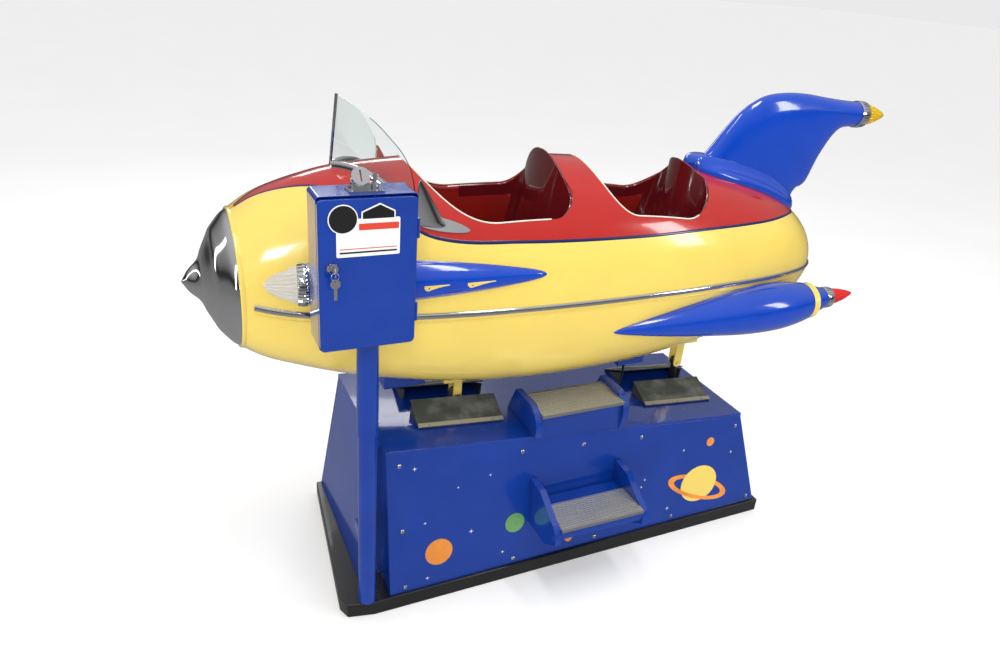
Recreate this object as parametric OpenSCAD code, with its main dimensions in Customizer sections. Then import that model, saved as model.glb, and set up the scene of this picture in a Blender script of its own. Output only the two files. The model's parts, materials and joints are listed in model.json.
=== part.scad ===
// Coin-operated rocking rocket ship: a fibreglass ship on two supports above a cabinet base.
// X runs along the ship with the nose towards -X, Y across it with the coin box on the -Y side, Z up.
// The origin is the middle of the plinth's underside.

/* [Base] */
// Length of the plinth along the ship
plinth_len = 1580; // [1540:5:1640]
// Depth of the plinth across the ship
plinth_dep = 660; // [655:5:720]
// Height of the plinth
plinth_h = 50; // [40:1:60]
// Height of the deck at its nose end
deck_nose_z = 548; // [540:1:556]
// Height of the deck at its tail end
deck_tail_z = 432; // [424:1:440]
// Thickness of the cabinet's panels
panel_t = 12; // [9:1:15]
// Thickness of the deck plate
deck_t = 12; // [8:1:14]

/* [Ship] */
// Wall thickness of the ship's shell
shell_t = 6; // [4:0.5:8]
// Gap between the ship's pivot pin and the fork's bore, on the radius
pin_clearance = 0.06; // [0.02:0.01:0.1]
// Radius of the rubbing strip's half-round section
belt_r = 9; // [6:0.5:12]
// Thickness of the windshield panes
pane_t = 5; // [4:0.5:6]
// Thickness of the tail fin
fin_t = 72; // [60:1:84]

/* [Drive] */
// Radius of the crank, from the output shaft to the roller
crank_r = 70; // [60:1:75]
// Diameter of the crank roller
roller_d = 24; // [20:1:26]
// Play of the roller in the yoke's slot, on each side
roller_play = 1.6; // [1.4:0.1:2]
// Diameter of the drive rod
rod_d = 26; // [20:1:28]
// Diameter of the pins that carry the ship
ship_pin_d = 16; // [12:1:18]

/* [Coin box] */
// Width of the coin box
box_w = 244; // [230:1:250]
// Depth of the coin box without its door
box_dep = 90; // [80:1:95]
// Height of the coin box
box_h = 389; // [370:1:400]
// Sheet thickness of the coin box
box_t = 2.5; // [1.5:0.5:4]
// Outer diameter of the upper post
post_d = 60; // [54:1:62]

/* [Rubber] */
// Thickness of the rubber flaps
flap_t = 4; // [3:0.5:6]

/* [Hidden] */

eps = 0.5;
skin_gap = 1.2;
base_blue = "mediumblue";
ship_yellow = "khaki";
ship_red = "firebrick";
maroon = "maroon";
chrome = "silver";

// ---- base outline ----
cab_bottom_x = 775;
cab_foot_y = 318;
cab_top_x0 = -720;
cab_top_x1 = 660;
cab_top_y = 250;
notch_x = -700;
notch_y = -205;
deck_slope = atan((deck_nose_z - deck_tail_z) / (cab_top_x1 - cab_top_x0));
function deck_z(x) = deck_nose_z - tan(deck_slope) * (x - cab_top_x0);
function under_deck_z(x) = deck_z(x) - deck_t / cos(deck_slope);
function mix(a, b, t) = a + (b - a) * t;
// How far the flat side panels stand out from the centre plane
side_lean = (cab_foot_y - cab_top_y) / (under_deck_z(notch_x) - plinth_h);
function side_y(x, z) = cab_top_y + side_lean * (under_deck_z(x) - z);

// ---- supports and drive ----
front_pin = [-387, 0, 556];
rear_pin = [515, 0, 545];
crank_pos = [515, 0, 215];
slot_reach = crank_r + 6;
yoke_half = slot_reach + roller_d / 2 + 14;
yoke_t = 16;
slot_half_len = 105;
slot_half_w = 24;
front_slot_x = -415;
rear_slot_x = 448;
flap_half_len = 148;
flap_foot_y = 142;
flap_ridge_y = 42;
flap_rise = 46;

// ---- cable from the ship's rear block to the deck ----
cable_d = 9;
rear_block_z = 598;
CABLE = [
  [258, -30, rear_block_z - 0.3], [258, -30, 576], [258, -31, 555], [257, -32, 535], [253, -33, 517],
  [243, -34, 500], [228, -33, 489],
  [208, -31, 483], [186, -31, 483], [166, -38, 484], [153, -52, 485], [150, -70, 485],
  [158, -88, 484], [173, -98, 484], [190, -101, 484], [203, -96, 485], [210, -87, 480],
  [211, -82, 471], [211, -82, 452]
];
cable_end = CABLE[len(CABLE) - 1];

// ---- ship body: x, half width, top, bottom, centre height ----
BODY = [
  [-1062, 190, 1226, 846, 1036],
  [-1000, 205, 1268, 806, 1019],
  [-924, 217, 1298, 774, 1004],
  [-800, 231, 1332, 728, 989],
  [-646, 245, 1350, 684, 977],
  [-442, 256, 1357, 641, 969],
  [-222, 262, 1354, 616, 965],
  [12, 262, 1341, 610, 963],
  [261, 254, 1321, 623, 962],
  [455, 240, 1293, 651, 961],
  [640, 217, 1250, 690, 958],
  [770, 190, 1203, 730, 955],
  [884, 150, 1137, 786, 950],
  [960, 98, 1070, 852, 945],
  [998, 46, 1006, 898, 942],
  [1012, 8, 952, 932, 942]
];
ring_x = -1062;
tail_x = 1012;
ring_z = 1036;
// Angle from the top, in degrees, at which the red deck meets the yellow shell
SEAM = [
  [-1062, 1], [-1045, 2], [-915, 12], [-850, 19], [-700, 40], [-560, 56], [-300, 60], [80, 60],
  [305, 58], [560, 53], [720, 45], [830, 30], [880, 12], [900, 1], [1012, 1]
];
STATIONS = concat(
  [ring_x, -1045, -1020, -985, -950],
  [for (i = [0:17]) -915 + i * 90],
  [680, 730, 780, 830, 880, 915, 945, 970, 990, 1003, tail_x]
);

function segment(table, x, i = 0) =
  (i >= len(table) - 2 || x < table[i + 1][0]) ? i : segment(table, x, i + 1);
function curve(table, x, c) =
  let (
    i = segment(table, x),
    a = table[max(i - 1, 0)],
    b = table[i],
    d = table[i + 1],
    e = table[min(i + 2, len(table) - 1)],
    w = d[0] - b[0],
    t = (x - b[0]) / w,
    m0 = (d[c] - a[c]) / (d[0] - a[0]) * w,
    m1 = (e[c] - b[c]) / (e[0] - b[0]) * w
  )
  (2 * t * t * t - 3 * t * t + 1) * b[c] + (t * t * t - 2 * t * t + t) * m0
  + (3 * t * t - 2 * t * t * t) * d[c] + (t * t * t - t * t) * m1;
function half_w(x) = curve(BODY, x, 1);
function top_z(x) = curve(BODY, x, 2);
function bottom_z(x) = curve(BODY, x, 3);
function mid_z(x) = curve(BODY, x, 4);
function seam(x) = lookup(x, SEAM);
// Point of the ship's surface at station x and angle a from the top, moved out by d
function skin(x, a, d = 0) =
  let (
    w = max(half_w(x) + d, 1),
    h = max((cos(a) > 0 ? top_z(x) - mid_z(x) : mid_z(x) - bottom_z(x)) + d, 1)
  )
  [x, w * sin(a), mid_z(x) + h * cos(a)];
function surface_z(x, y) =
  mid_z(x) + (top_z(x) - mid_z(x)) * sqrt(max(1 - pow(y / half_w(x), 2), 0));

// A closed strip of the ship's shell: each row is one station, outer points then inner points
module shell_strip(xs, from, to, n, outer, inner) {
  rows = [for (x = xs) concat(
    [for (j = [0:n]) skin(x, mix(from(x), to(x), j / n), outer)],
    [for (j = [n:-1:0]) skin(x, mix(from(x), to(x), j / n), inner)]
  )];
  loop_skin(rows);
}

// Skin over closed loops of equal length, whose ends are capped between the loop's two halves
module loop_skin(rows) {
  m = len(rows[0]);
  half = m / 2;
  last = (len(rows) - 1) * m;
  sides = [for (i = [0:len(rows) - 2]) for (j = [0:m - 1])
    [i * m + j, (i + 1) * m + j, (i + 1) * m + (j + 1) % m, i * m + (j + 1) % m]];
  cap_a = [for (j = [0:half - 2]) [j, j + 1, m - 2 - j, m - 1 - j]];
  cap_b = [for (j = [0:half - 2]) [last + m - 1 - j, last + m - 2 - j, last + j + 1, last + j]];
  polyhedron([for (r = rows) each r], concat(sides, cap_a, cap_b), convexity = 8);
}

// Skin over closed loops of equal length, with flat ends
module tube_skin(rows) {
  m = len(rows[0]);
  last = (len(rows) - 1) * m;
  sides = [for (i = [0:len(rows) - 2]) for (j = [0:m - 1])
    [i * m + j, (i + 1) * m + j, (i + 1) * m + (j + 1) % m, i * m + (j + 1) % m]];
  cap_a = [[for (j = [0:m - 1]) j]];
  cap_b = [[for (j = [m - 1:-1:0]) last + j]];
  polyhedron([for (r = rows) each r], concat(sides, cap_a, cap_b), convexity = 8);
}

// The ship's outer form as one solid, for cutting what sits on its skin
module body_core(grow = 0) {
  n = 40;
  tube_skin([for (x = STATIONS) [for (j = [0:n - 1]) skin(x, -j * 360 / n, grow)]]);
}

// A flat plate between a polygon in space and the same polygon moved by v
module plate(points, v) {
  n = len(points);
  moved = [for (p = points) p + v];
  polyhedron(
    concat(points, moved),
    concat(
      [[for (j = [0:n - 1]) j]],
      [[for (j = [n - 1:-1:0]) n + j]],
      [for (j = [0:n - 1]) [(j + 1) % n, j, n + j, n + (j + 1) % n]]
    ),
    convexity = 6
  );
}

module along_y(d, y0, y1, fn = 40) {
  translate([0, y0, 0])
    rotate([-90, 0, 0])
      cylinder(h = y1 - y0, d = d, $fn = fn);
}

module along_x(d, x0, x1, fn = 40) {
  translate([x0, 0, 0])
    rotate([0, 90, 0])
      cylinder(h = x1 - x0, d = d, $fn = fn);
}

module on_deck(x, y = 0) {
  translate([x, y, deck_z(x)])
    rotate([0, deck_slope, 0])
      children();
}

module both_sides() {
  children();
  mirror([0, 1, 0]) children();
}

// ---- base ----
module plinth() {
  l = plinth_len / 2;
  d = plinth_dep / 2;
  color("black")
    linear_extrude(plinth_h)
      polygon([[-l - 59, -d + 57], [-l - 43, -d + 18], [-l + 38, -d + 2], [l, -d + 17],
               [l, d - 17], [-l, d]]);
}

rail = 30;
rail_z0 = plinth_h;
frame_x = 560;
frame_y = 270;

module frame_post(x, y) {
  translate([x - rail / 2, y - rail / 2, rail_z0])
    cube([rail, rail, under_deck_z(x + rail / 2) - rail_z0 - 2]);
}

module cabinet_frame() {
  color("dimgray")
    union() {
      for (y = [-frame_y, frame_y])
        translate([-frame_x, y - rail / 2, rail_z0])
          cube([2 * frame_x, rail, rail]);
      for (x = [-frame_x + rail / 2, front_pin[0], crank_pos[0] - 250, frame_x - rail / 2])
        translate([x - rail / 2, -frame_y, rail_z0])
          cube([rail, 2 * frame_y, rail]);
      for (x = [-frame_x + rail / 2, frame_x - rail / 2])
        for (s = [-1, 1])
          frame_post(x, s * 215);
    }
}

module side_panel(x_bottom, x_top) {
  plate([
    [x_bottom, -side_y(x_bottom, plinth_h), plinth_h],
    [x_top, -cab_top_y, under_deck_z(x_top)],
    [cab_top_x1, -cab_top_y, under_deck_z(cab_top_x1)],
    [cab_bottom_x, -side_y(cab_bottom_x, plinth_h), plinth_h]
  ], [0, panel_t, 0]);
}

module front_panel() {
  color(base_blue)
    side_panel(notch_x, notch_x);
}

module rear_panel() {
  color(base_blue)
    mirror([0, 1, 0])
      side_panel(-cab_bottom_x, cab_top_x0);
}

module right_end_panel() {
  yb = side_y(cab_bottom_x, plinth_h) - panel_t;
  yt = cab_top_y - panel_t;
  color(base_blue)
    plate([
      [cab_bottom_x, -yb, plinth_h],
      [cab_top_x1, -yt, under_deck_z(cab_top_x1)],
      [cab_top_x1, yt, under_deck_z(cab_top_x1)],
      [cab_bottom_x, yb, plinth_h]
    ], [-panel_t, 0, 0]);
}

module left_end_panel() {
  yb = side_y(-cab_bottom_x, plinth_h) - panel_t - eps;
  yt = cab_top_y - panel_t - eps;
  z_top = under_deck_z(cab_top_x0 + panel_t);
  color(base_blue)
    plate([
      [-cab_bottom_x, yb, plinth_h],
      [cab_top_x0, yt, z_top],
      [cab_top_x0, notch_y, z_top],
      [-cab_bottom_x, notch_y, plinth_h]
    ], [panel_t, 0, 0]);
}

// Two sheets that line the open corner where the coin box post stands
module corner_recess() {
  t = 4;
  z_top = under_deck_z(notch_x + t) - eps;
  foot = -side_y(notch_x, plinth_h) + panel_t + eps;
  head = -cab_top_y + panel_t + eps;
  color(base_blue)
    union() {
      plate([
        [notch_x, foot, plinth_h],
        [notch_x, notch_y, plinth_h],
        [notch_x, notch_y, z_top],
        [notch_x, head, z_top]
      ], [t, 0, 0]);
      plate([
        [notch_x + t, notch_y, plinth_h],
        [-cab_bottom_x + panel_t, notch_y, plinth_h],
        [cab_top_x0 + panel_t, notch_y, z_top],
        [notch_x + t, notch_y, z_top]
      ], [0, t, 0]);
    }
}

module slot_hole(x) {
  d = 2 * slot_half_w;
  for (s = [-1, 1])
    translate([x + s * (slot_half_len - slot_half_w), 0, -deck_t - eps])
      cylinder(h = deck_t + 2 * eps, d = d, $fn = 32);
  translate([x - slot_half_len + slot_half_w, -slot_half_w, -deck_t - eps])
    cube([2 * (slot_half_len - slot_half_w), d, deck_t + 2 * eps]);
}

// Hole that the ship's cable goes down through, upright in the sloping deck
module cable_hole() {
  rotate([0, -deck_slope, 0])
    translate([cable_end[0] - cab_top_x0, cable_end[1], cable_end[2] - deck_nose_z - eps])
      cylinder(h = 60, d = cable_d + 4, $fn = 32);
}

module top_deck() {
  l = (cab_top_x1 - cab_top_x0) / cos(deck_slope);
  local_notch = (notch_x - cab_top_x0) / cos(deck_slope);
  y = cab_top_y;
  color(base_blue)
    translate([cab_top_x0, 0, deck_nose_z])
      rotate([0, deck_slope, 0])
        difference() {
          translate([0, 0, -deck_t])
            linear_extrude(deck_t)
              polygon([[0, notch_y], [local_notch, notch_y], [local_notch, -y], [l, -y], [l, y], [0, y]]);
          for (x = [front_slot_x, rear_slot_x])
            slot_hole((x - cab_top_x0) / cos(deck_slope));
          cable_hole();
        }
}

front_lean = atan(side_lean);

module screw_head(d = 14, h = 4) {
  intersection() {
    translate([0, 0, h - d * 0.75])
      sphere(d = d * 1.5, $fn = 20);
    cylinder(h = h, d = d, $fn = 20);
  }
}

module panel_screw(x, z) {
  translate([x, -side_y(x, z), z])
    rotate([90 - front_lean, 0, 0])
      translate([0, 0, 0.4])
        screw_head();
}

module panel_screws() {
  foot_z = plinth_h + 18;
  color(chrome)
    union() {
      for (x = [-660, -247, -16, 217, 640])
        panel_screw(x, under_deck_z(x) - 38);
      for (x = [-650, -271, 48, 381, 740])
        panel_screw(x, foot_z);
      panel_screw(-655, 270);
    }
}

// ---- steps ----
step_x0 = -192;
step_x1 = 112;
cheek_t = 22;
upper_z = 588;
upper_y0 = -262;
upper_y1 = -118;
lower_z = 290;
lower_y0 = -462;
lower_y1 = -336;
tread_t = 8;

module cheek(points, x) {
  translate([x, 0, 0])
    rotate([90, 0, 90])
      linear_extrude(cheek_t)
        polygon(points);
}

function arc(cy, cz, r, a0, a1, n) =
  [for (i = [0:n]) let (a = mix(a0, a1, i / n)) [cy + r * cos(a), cz + r * sin(a)]];

module upper_step_housing() {
  z0 = deck_z(step_x0 - cheek_t);
  r = 70;
  outline = concat(
    [[-250, z0 - 60], [-60, z0 - 60], [-60, z0 + 8], [upper_y1 + 14, upper_z + 13]],
    arc(upper_y0 + r - 8, upper_z + 18 - r, r, 90, 185, 8)
  );
  color(base_blue)
    difference() {
      union() {
        cheek(outline, step_x0 - cheek_t);
        cheek(outline, step_x1);
        translate([step_x0 - eps, upper_y0 + 8, z0 - 70])
          cube([step_x1 - step_x0 + 2 * eps, 10, upper_z - tread_t - z0 + 70]);
        translate([step_x0 - eps, upper_y1 - 14, z0 - 70])
          cube([step_x1 - step_x0 + 2 * eps, 10, upper_z - tread_t - z0 + 70]);
      }
      translate([cab_top_x0, -400, deck_nose_z])
        rotate([0, deck_slope, 0])
          translate([0, 0, -400])
            cube([2000, 800, 400]);
    }
}

// Ribbed aluminium tread: a plate with raised ribs along its length
module tread(x0, x1, y0, y1, z) {
  rib_n = 12;
  pitch = (y1 - y0 - 12) / rib_n;
  color("lightgray")
    union() {
      translate([x0, y0, z - tread_t])
        cube([x1 - x0, y1 - y0, tread_t - 2]);
      for (i = [0:rib_n - 1])
        translate([x0, y0 + 8 + i * pitch, z - 2 - eps])
          cube([x1 - x0, pitch * 0.5, 2 + eps]);
      translate([x0, y0 - 4, z - 13])
        cube([x1 - x0, 4 + eps, 13]);
    }
}

module upper_step_tread() {
  tread(step_x0, step_x1, upper_y0, upper_y1, upper_z);
}

module lower_step_housing() {
  r = 60;
  outline = concat(
    [[-270, lower_z - 100], [-270, lower_z + 66], [-340, lower_z + 60]],
    arc(lower_y0 - 4 + r, lower_z + 12 - r, r, 100, 190, 8),
    [[-400, lower_z - 100]]
  );
  color(base_blue)
    difference() {
      union() {
        cheek(outline, step_x0 - cheek_t);
        cheek(outline, step_x1);
        translate([step_x0 - eps, lower_y0 + 1, lower_z - tread_t - 34])
          cube([step_x1 - step_x0 + 2 * eps, 6, 33]);
        translate([step_x0 - eps, lower_y0 + 60, lower_z - 84])
          cube([step_x1 - step_x0 + 2 * eps, 8, 84 - tread_t - 1]);
        translate([step_x0 - eps, -345, lower_z - tread_t - 7])
          cube([step_x1 - step_x0 + 2 * eps, 60, 6]);
      }
      cabinet_void();
    }
}

// Everything behind the front panel's outer face
module cabinet_void() {
  xs = [-400, 400];
  points = [for (x = xs) each [
    [x, -side_y(x, plinth_h), plinth_h],
    [x, -cab_top_y, under_deck_z(x)]
  ]];
  plate([points[0], points[1], points[3], points[2]], [0, 300, 0]);
}

module lower_step_tread() {
  tread(step_x0, step_x1, lower_y0, lower_y1, lower_z);
}

// ---- deck slots and rubber flaps ----
flap_angle = atan(flap_rise / (flap_foot_y - flap_ridge_y));

module slot_brackets() {
  color("dimgray")
    union() {
      for (x = [front_slot_x, rear_slot_x])
        on_deck(x)
          both_sides()
            for (s = [-1, 1])
              translate([s * (flap_half_len - 8) - 3, 0, 0.3])
                rotate([90, 0, 90])
                  linear_extrude(6)
                    polygon([[-flap_foot_y + 14, 0], [-flap_ridge_y, 0],
                             [-flap_ridge_y, flap_rise - 6]]);
    }
}

module rubber_flaps() {
  l = (flap_foot_y - flap_ridge_y) / cos(flap_angle);
  color("darkslategray")
    union() {
      for (x = [front_slot_x, rear_slot_x])
        on_deck(x)
          both_sides()
            translate([-flap_half_len, -flap_foot_y, 0.6])
              rotate([flap_angle, 0, 0])
                cube([2 * flap_half_len, l, flap_t]);
    }
}

module flap_strips() {
  color(chrome)
    union() {
      for (x = [front_slot_x, rear_slot_x])
        on_deck(x)
          both_sides()
            translate([-flap_half_len, -flap_foot_y, 0.6])
              rotate([flap_angle, 0, 0]) {
                translate([0, 1, flap_t + 0.3])
                  cube([2 * flap_half_len, 15, 2]);
                for (k = [0.25, 1, 1.75])
                  translate([k * flap_half_len, 8.5, flap_t + 2])
                    cylinder(h = 2.6, d = 9, $fn = 16);
              }
    }
}

// ---- supports and drive ----
upright_w = 36;

module front_upright() {
  x = front_pin[0];
  z0 = rail_z0 + rail;
  color("dimgray")
    difference() {
      union() {
        translate([x - 70, -60, z0])
          cube([140, 120, 10]);
        translate([x - upright_w / 2, -upright_w / 2, z0 + 9])
          cube([upright_w, upright_w, front_pin[2] - z0 - 9]);
        translate([x, 0, front_pin[2]])
          along_y(upright_w, -upright_w / 2, upright_w / 2);
      }
      translate([x, 0, front_pin[2]])
        along_y(ship_pin_d + 2 * pin_clearance, -30, 30);
    }
}

module front_pivot_pin() {
  y = 26;
  color(chrome)
    translate([front_pin[0], 0, front_pin[2]])
      union() {
        along_y(ship_pin_d, -y, y);
        for (s = [-1, 1])
          translate([0, s * (y + 2), 0])
            rotate([90, 0, 0])
              cylinder(h = 6, d = 25, center = true, $fn = 6);
      }
}

gear_y0 = 58;

module gearmotor() {
  y_mid = gear_y0 + 62;
  color("slategray")
    translate([crank_pos[0], 0, crank_pos[2]])
      union() {
        translate([-72, gear_y0, -70])
          cube([144, 124, 140]);
        along_y(90, gear_y0 - 8, gear_y0 + 5);
        translate([0, y_mid, 0])
          along_x(120, -320, -60);
        translate([0, y_mid, 0])
          along_x(104, -340, -310);
        translate([-250, y_mid - 36, 40])
          cube([90, 72, 46]);
        translate([-300, y_mid - 50, -crank_pos[2] + rail_z0 + rail])
          cube([372, 100, 20]);
        for (x = [-280, -110, 20])
          translate([x, y_mid - 34, -crank_pos[2] + rail_z0 + rail + 15])
            cube([44, 68, 76]);
      }
}

module control_box() {
  color("gray")
    union() {
      translate([-250, 60, rail_z0])
        cube([200, 150, 110]);
      translate([-230, 80, rail_z0 + 109])
        cube([160, 110, 6]);
    }
}

module crank_arm() {
  y0 = yoke_t / 2 + 5;
  color("darkgray")
    translate([crank_pos[0], 0, crank_pos[2]])
      union() {
        hull() {
          along_y(64, y0, y0 + 18, 32);
          translate([crank_r, 0, 0])
            along_y(44, y0, y0 + 18, 32);
        }
        along_y(30, y0 + 17, gear_y0 - 8.4);
        translate([crank_r, 0, 0])
          along_y(roller_d, -yoke_t / 2 - 4, y0 + eps);
        translate([crank_r, 0, 0])
          along_y(34, -yoke_t / 2 - 9, -yoke_t / 2 - 4);
      }
}

// Rod with a bored eye at the ship and a slotted yoke round the crank roller
module drive_rod() {
  slot_r = roller_d / 2 + roller_play;
  z_yoke = crank_pos[2];
  color("black")
    difference() {
      union() {
        translate([rear_pin[0], 0, rear_pin[2]])
          along_y(34, -11, 11);
        translate([rear_pin[0], 0, z_yoke + 28])
          cylinder(h = rear_pin[2] - z_yoke - 28 - 12, d = rod_d, $fn = 40);
        translate([rear_pin[0] - yoke_half, -yoke_t / 2, z_yoke - 30])
          cube([2 * yoke_half, yoke_t, 60]);
      }
      translate([rear_pin[0], 0, rear_pin[2]])
        along_y(ship_pin_d + 2 * pin_clearance, -30, 30);
      translate([rear_pin[0] - slot_reach, -30, z_yoke - slot_r])
        cube([2 * slot_reach, 60, 2 * slot_r]);
      for (s = [-1, 1])
        translate([rear_pin[0] + s * slot_reach, 0, z_yoke])
          along_y(2 * slot_r, -30, 30);
    }
}

// ---- coin box and its post ----
box_x0 = -912;
box_y_back = -285;
box_z0 = 974;
post_pos = [-770, -303];
sleeve_z = 660;
door_t = 14;
lock_pos = [-880, box_y_back - box_dep - door_t, 1194];

module post_column() {
  color(base_blue)
    union() {
      translate([post_pos[0], post_pos[1], plinth_h])
        cylinder(h = sleeve_z - plinth_h, d = post_d - 6, $fn = 48);
      translate([post_pos[0] - 12, post_pos[1], plinth_h + 200])
        cube([24, 100, 40]);
    }
}

module post_tube() {
  color(base_blue)
    union() {
      translate([post_pos[0], post_pos[1], sleeve_z])
        cylinder(h = box_z0 - sleeve_z - 6, d = post_d, $fn = 48);
      translate([post_pos[0] - 50, box_y_back - box_dep + 10, box_z0 - 6])
        cube([100, 70, 6]);
    }
}

module box_outline(w, h, r) {
  for (x = [r, w - r])
    for (z = [r, h - r])
      translate([x, z])
        circle(r = r, $fn = 24);
  translate([r, 0])
    square([w - 2 * r, h]);
  translate([0, r])
    square([w, h - 2 * r]);
}

module box_solid(x, y, z, w, dep, h, r) {
  translate([x, y + dep, z])
    rotate([90, 0, 0])
      linear_extrude(dep)
        box_outline(w, h, r);
}

module coin_box_case() {
  y0 = box_y_back - box_dep;
  color(base_blue)
    difference() {
      box_solid(box_x0, y0, box_z0, box_w, box_dep, box_h, 10);
      box_solid(box_x0 + box_t, y0 - 1, box_z0 + box_t, box_w - 2 * box_t,
                box_dep - box_t + 1, box_h - 2 * box_t, 8);
      translate([-815, y0 + 34, box_z0 + box_h - 10])
        cube([30, 8, 20]);
      translate([-764, y0 + 38, box_z0 + box_h - 10])
        cylinder(h = 20, d = 10.4, $fn = 32);
    }
}

module coin_box_door() {
  y1 = box_y_back - box_dep - 0.6;
  y0 = y1 - door_t;
  color(base_blue)
    difference() {
      union() {
        box_solid(box_x0 + 0.5, y0, box_z0 + 3, box_w - 6, door_t, box_h - 8, 12);
        for (z = [box_z0 + 60, box_z0 + box_h - 110])
          translate([box_x0 + box_w - 1, y0 + 7, z])
            cylinder(h = 50, d = 9, $fn = 24);
      }
      box_solid(box_x0 + 6, y0 + 3, box_z0 + 9, box_w - 17, door_t, box_h - 20, 9);
      translate([lock_pos[0], 0, lock_pos[2]])
        along_y(22.1, y0 - 5, y1 + 5);
    }
}

module price_plate() {
  y = box_y_back - box_dep - 0.6 - door_t - 1.2;
  color("white")
    union() {
      box_solid(-869, y, 1220, 152, 1.2, 62, 5);
      translate([-853, y, 1312])
        along_y(70, 0, 1.2);
      translate([-853, y, 1270])
        cube([136, 1.2, 42]);
      translate([0, y + 1.2, 0])
        rotate([90, 0, 0])
          linear_extrude(1.2)
            polygon([[-810, 1308], [-729, 1308], [-729, 1328], [-766, 1347], [-810, 1328]]);
    }
}

// Barrel lock with its cam and the key that stands in it
module door_lock() {
  y_face = box_y_back - box_dep - 0.6 - door_t;
  color(chrome)
    translate([lock_pos[0], y_face, lock_pos[2]])
      union() {
        along_y(28, -5, -0.3);
        along_y(22, -0.4, 26);
        translate([-10, 22, -9])
          cube([38, 3, 18]);
        translate([-1.2, -24, -4])
          cube([2.4, 20, 8]);
        translate([0, -26, 0])
          rotate([0, 90, 0])
            difference() {
              cylinder(h = 2.4, d = 24, center = true, $fn = 28);
              translate([0, -6, 0])
                cylinder(h = 4, d = 6.5, center = true, $fn = 20);
            }
      }
}

key_ring_pos = [lock_pos[0], box_y_back - box_dep - 0.6 - door_t - 32, lock_pos[2]];

// Split ring through the standing key's bow, with a spare key on it
module hanging_key() {
  r = 9;
  color(chrome)
    translate(key_ring_pos)
      union() {
        translate([0, 0, -r + 1])
          rotate([90, 0, 0])
            rotate_extrude($fn = 40)
              translate([r, 0])
                circle(r = 1, $fn = 14);
        translate([0, 0, -2 * r - 8])
          rotate([90, 0, 0])
            difference() {
              cylinder(h = 2.2, d = 24, center = true, $fn = 32);
              translate([0, 8.2, 0])
                cylinder(h = 4, d = 4, center = true, $fn = 20);
            }
        translate([-4, -1.1, -2 * r - 48])
          cube([8, 2.2, 30]);
      }
}

entry_x = -800;
entry_y = box_y_back - box_dep + 38;
entry_z = box_z0 + box_h;

module coin_entry() {
  color(chrome)
    difference() {
      union() {
        translate([entry_x - 30, entry_y - 24, entry_z + 0.3])
          cube([84, 48, 4]);
        translate([entry_x - 20, entry_y - 14, entry_z + 4])
          cube([40, 28, 16]);
        translate([entry_x, entry_y - 6, entry_z + 34])
          rotate([55, 0, 0])
            cylinder(h = 12, d = 44, center = true, $fn = 48);
        translate([-764, entry_y, entry_z + 4])
          cylinder(h = 12, d = 20, $fn = 32);
        for (s = [[-24, -16], [-24, 16], [48, -16]])
          translate([entry_x + s[0], entry_y + s[1], entry_z + 4])
            cylinder(h = 4, d = 9, $fn = 20);
      }
      translate([entry_x, entry_y - 6, entry_z + 34])
        rotate([55, 0, 0])
          translate([-2, -14, -20])
            cube([4, 28, 60]);
      translate([-764, entry_y, entry_z - 5])
        cylinder(h = 40, d = 10.2, $fn = 32);
    }
}

module coin_return_plunger() {
  color(chrome)
    translate([-764, entry_y, entry_z])
      union() {
        translate([0, 0, -16])
          cylinder(h = 56, d = 10, $fn = 32);
        translate([0, 0, -22])
          cylinder(h = 6, d = 16, $fn = 32);
        translate([0, 0, 33])
          along_x(6, -9, 9, 24);
      }
}

module coin_mechanism() {
  color("gray")
    translate([entry_x, entry_y, 0])
      union() {
        translate([-40, -16, entry_z - 190])
          cube([80, 44, 150]);
        translate([-22, -10, entry_z - 41])
          cube([34, 20, 36]);
        translate([-30, 27, entry_z - 170])
          cube([60, 18.5, 100]);
      }
}

module cash_box() {
  x0 = box_x0 + 30;
  y0 = box_y_back - box_dep + 6;
  color("dimgray")
    difference() {
      translate([x0, y0, box_z0 + box_t + 0.3])
        cube([150, 76, 120]);
      translate([x0 + 2, y0 + 2, box_z0 + box_t + 2.3])
        cube([146, 72, 130]);
    }
}

// ---- ship's shell ----
DECK_STATIONS = [for (x = STATIONS) if (x > ring_x && x < 890) x];
// Joint between the deck and the lower shell, in degrees
joint_gap = 0.2;

module hull_lower() {
  color(ship_yellow)
    shell_strip(STATIONS, function (x) 360 - seam(x), function (x) seam(x), 36, 0, -shell_t);
}

// Plan outline of a cockpit opening: swept front edge, straight sides, wide rear corners of radii rx and ry,
// and a rear edge that comes forward to x_mid at the centre
function opening(x_front, x_side, x_rear, x_mid, half, rx, ry) =
  let (
    front = [for (i = [0:8]) let (t = i / 8) [mix(x_front, x_side, t * t), half * sin(90 * t)]],
    corner = [for (i = [0:6]) let (a = 90 - 15 * i) [x_rear - rx + rx * cos(a), half - ry + ry * sin(a)]],
    back = [for (i = [1:4]) let (t = 1 - i / 4) [mix(x_mid, x_rear, t * t), (half - ry) * t]],
    side = concat(front, corner, back)
  )
  concat(side, [for (i = [len(side) - 2:-1:1]) [side[i][0], -side[i][1]]]);
front_opening = opening(-592, -360, -118, -147, 201, 73, 50);
rear_opening = opening(-32, 105, 412, 362, 197, 130, 100);

module hull_deck() {
  color(ship_red)
    difference() {
      shell_strip(DECK_STATIONS, function (x) seam(x) - joint_gap, function (x) joint_gap - seam(x), 28, 0,
                  -shell_t);
      for (o = [front_opening, rear_opening])
        translate([0, 0, 1100])
          linear_extrude(400)
            polygon(o);
    }
}

// Nose cap: a small cone that flares into a dome
NOSE = [
  [0, 132], [5, 130], [10, 126], [39, 104], [46, 96], [56, 87], [80, 78],
  [118, 60], [150, 41], [176, 18], [188, 0.3]
];

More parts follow.
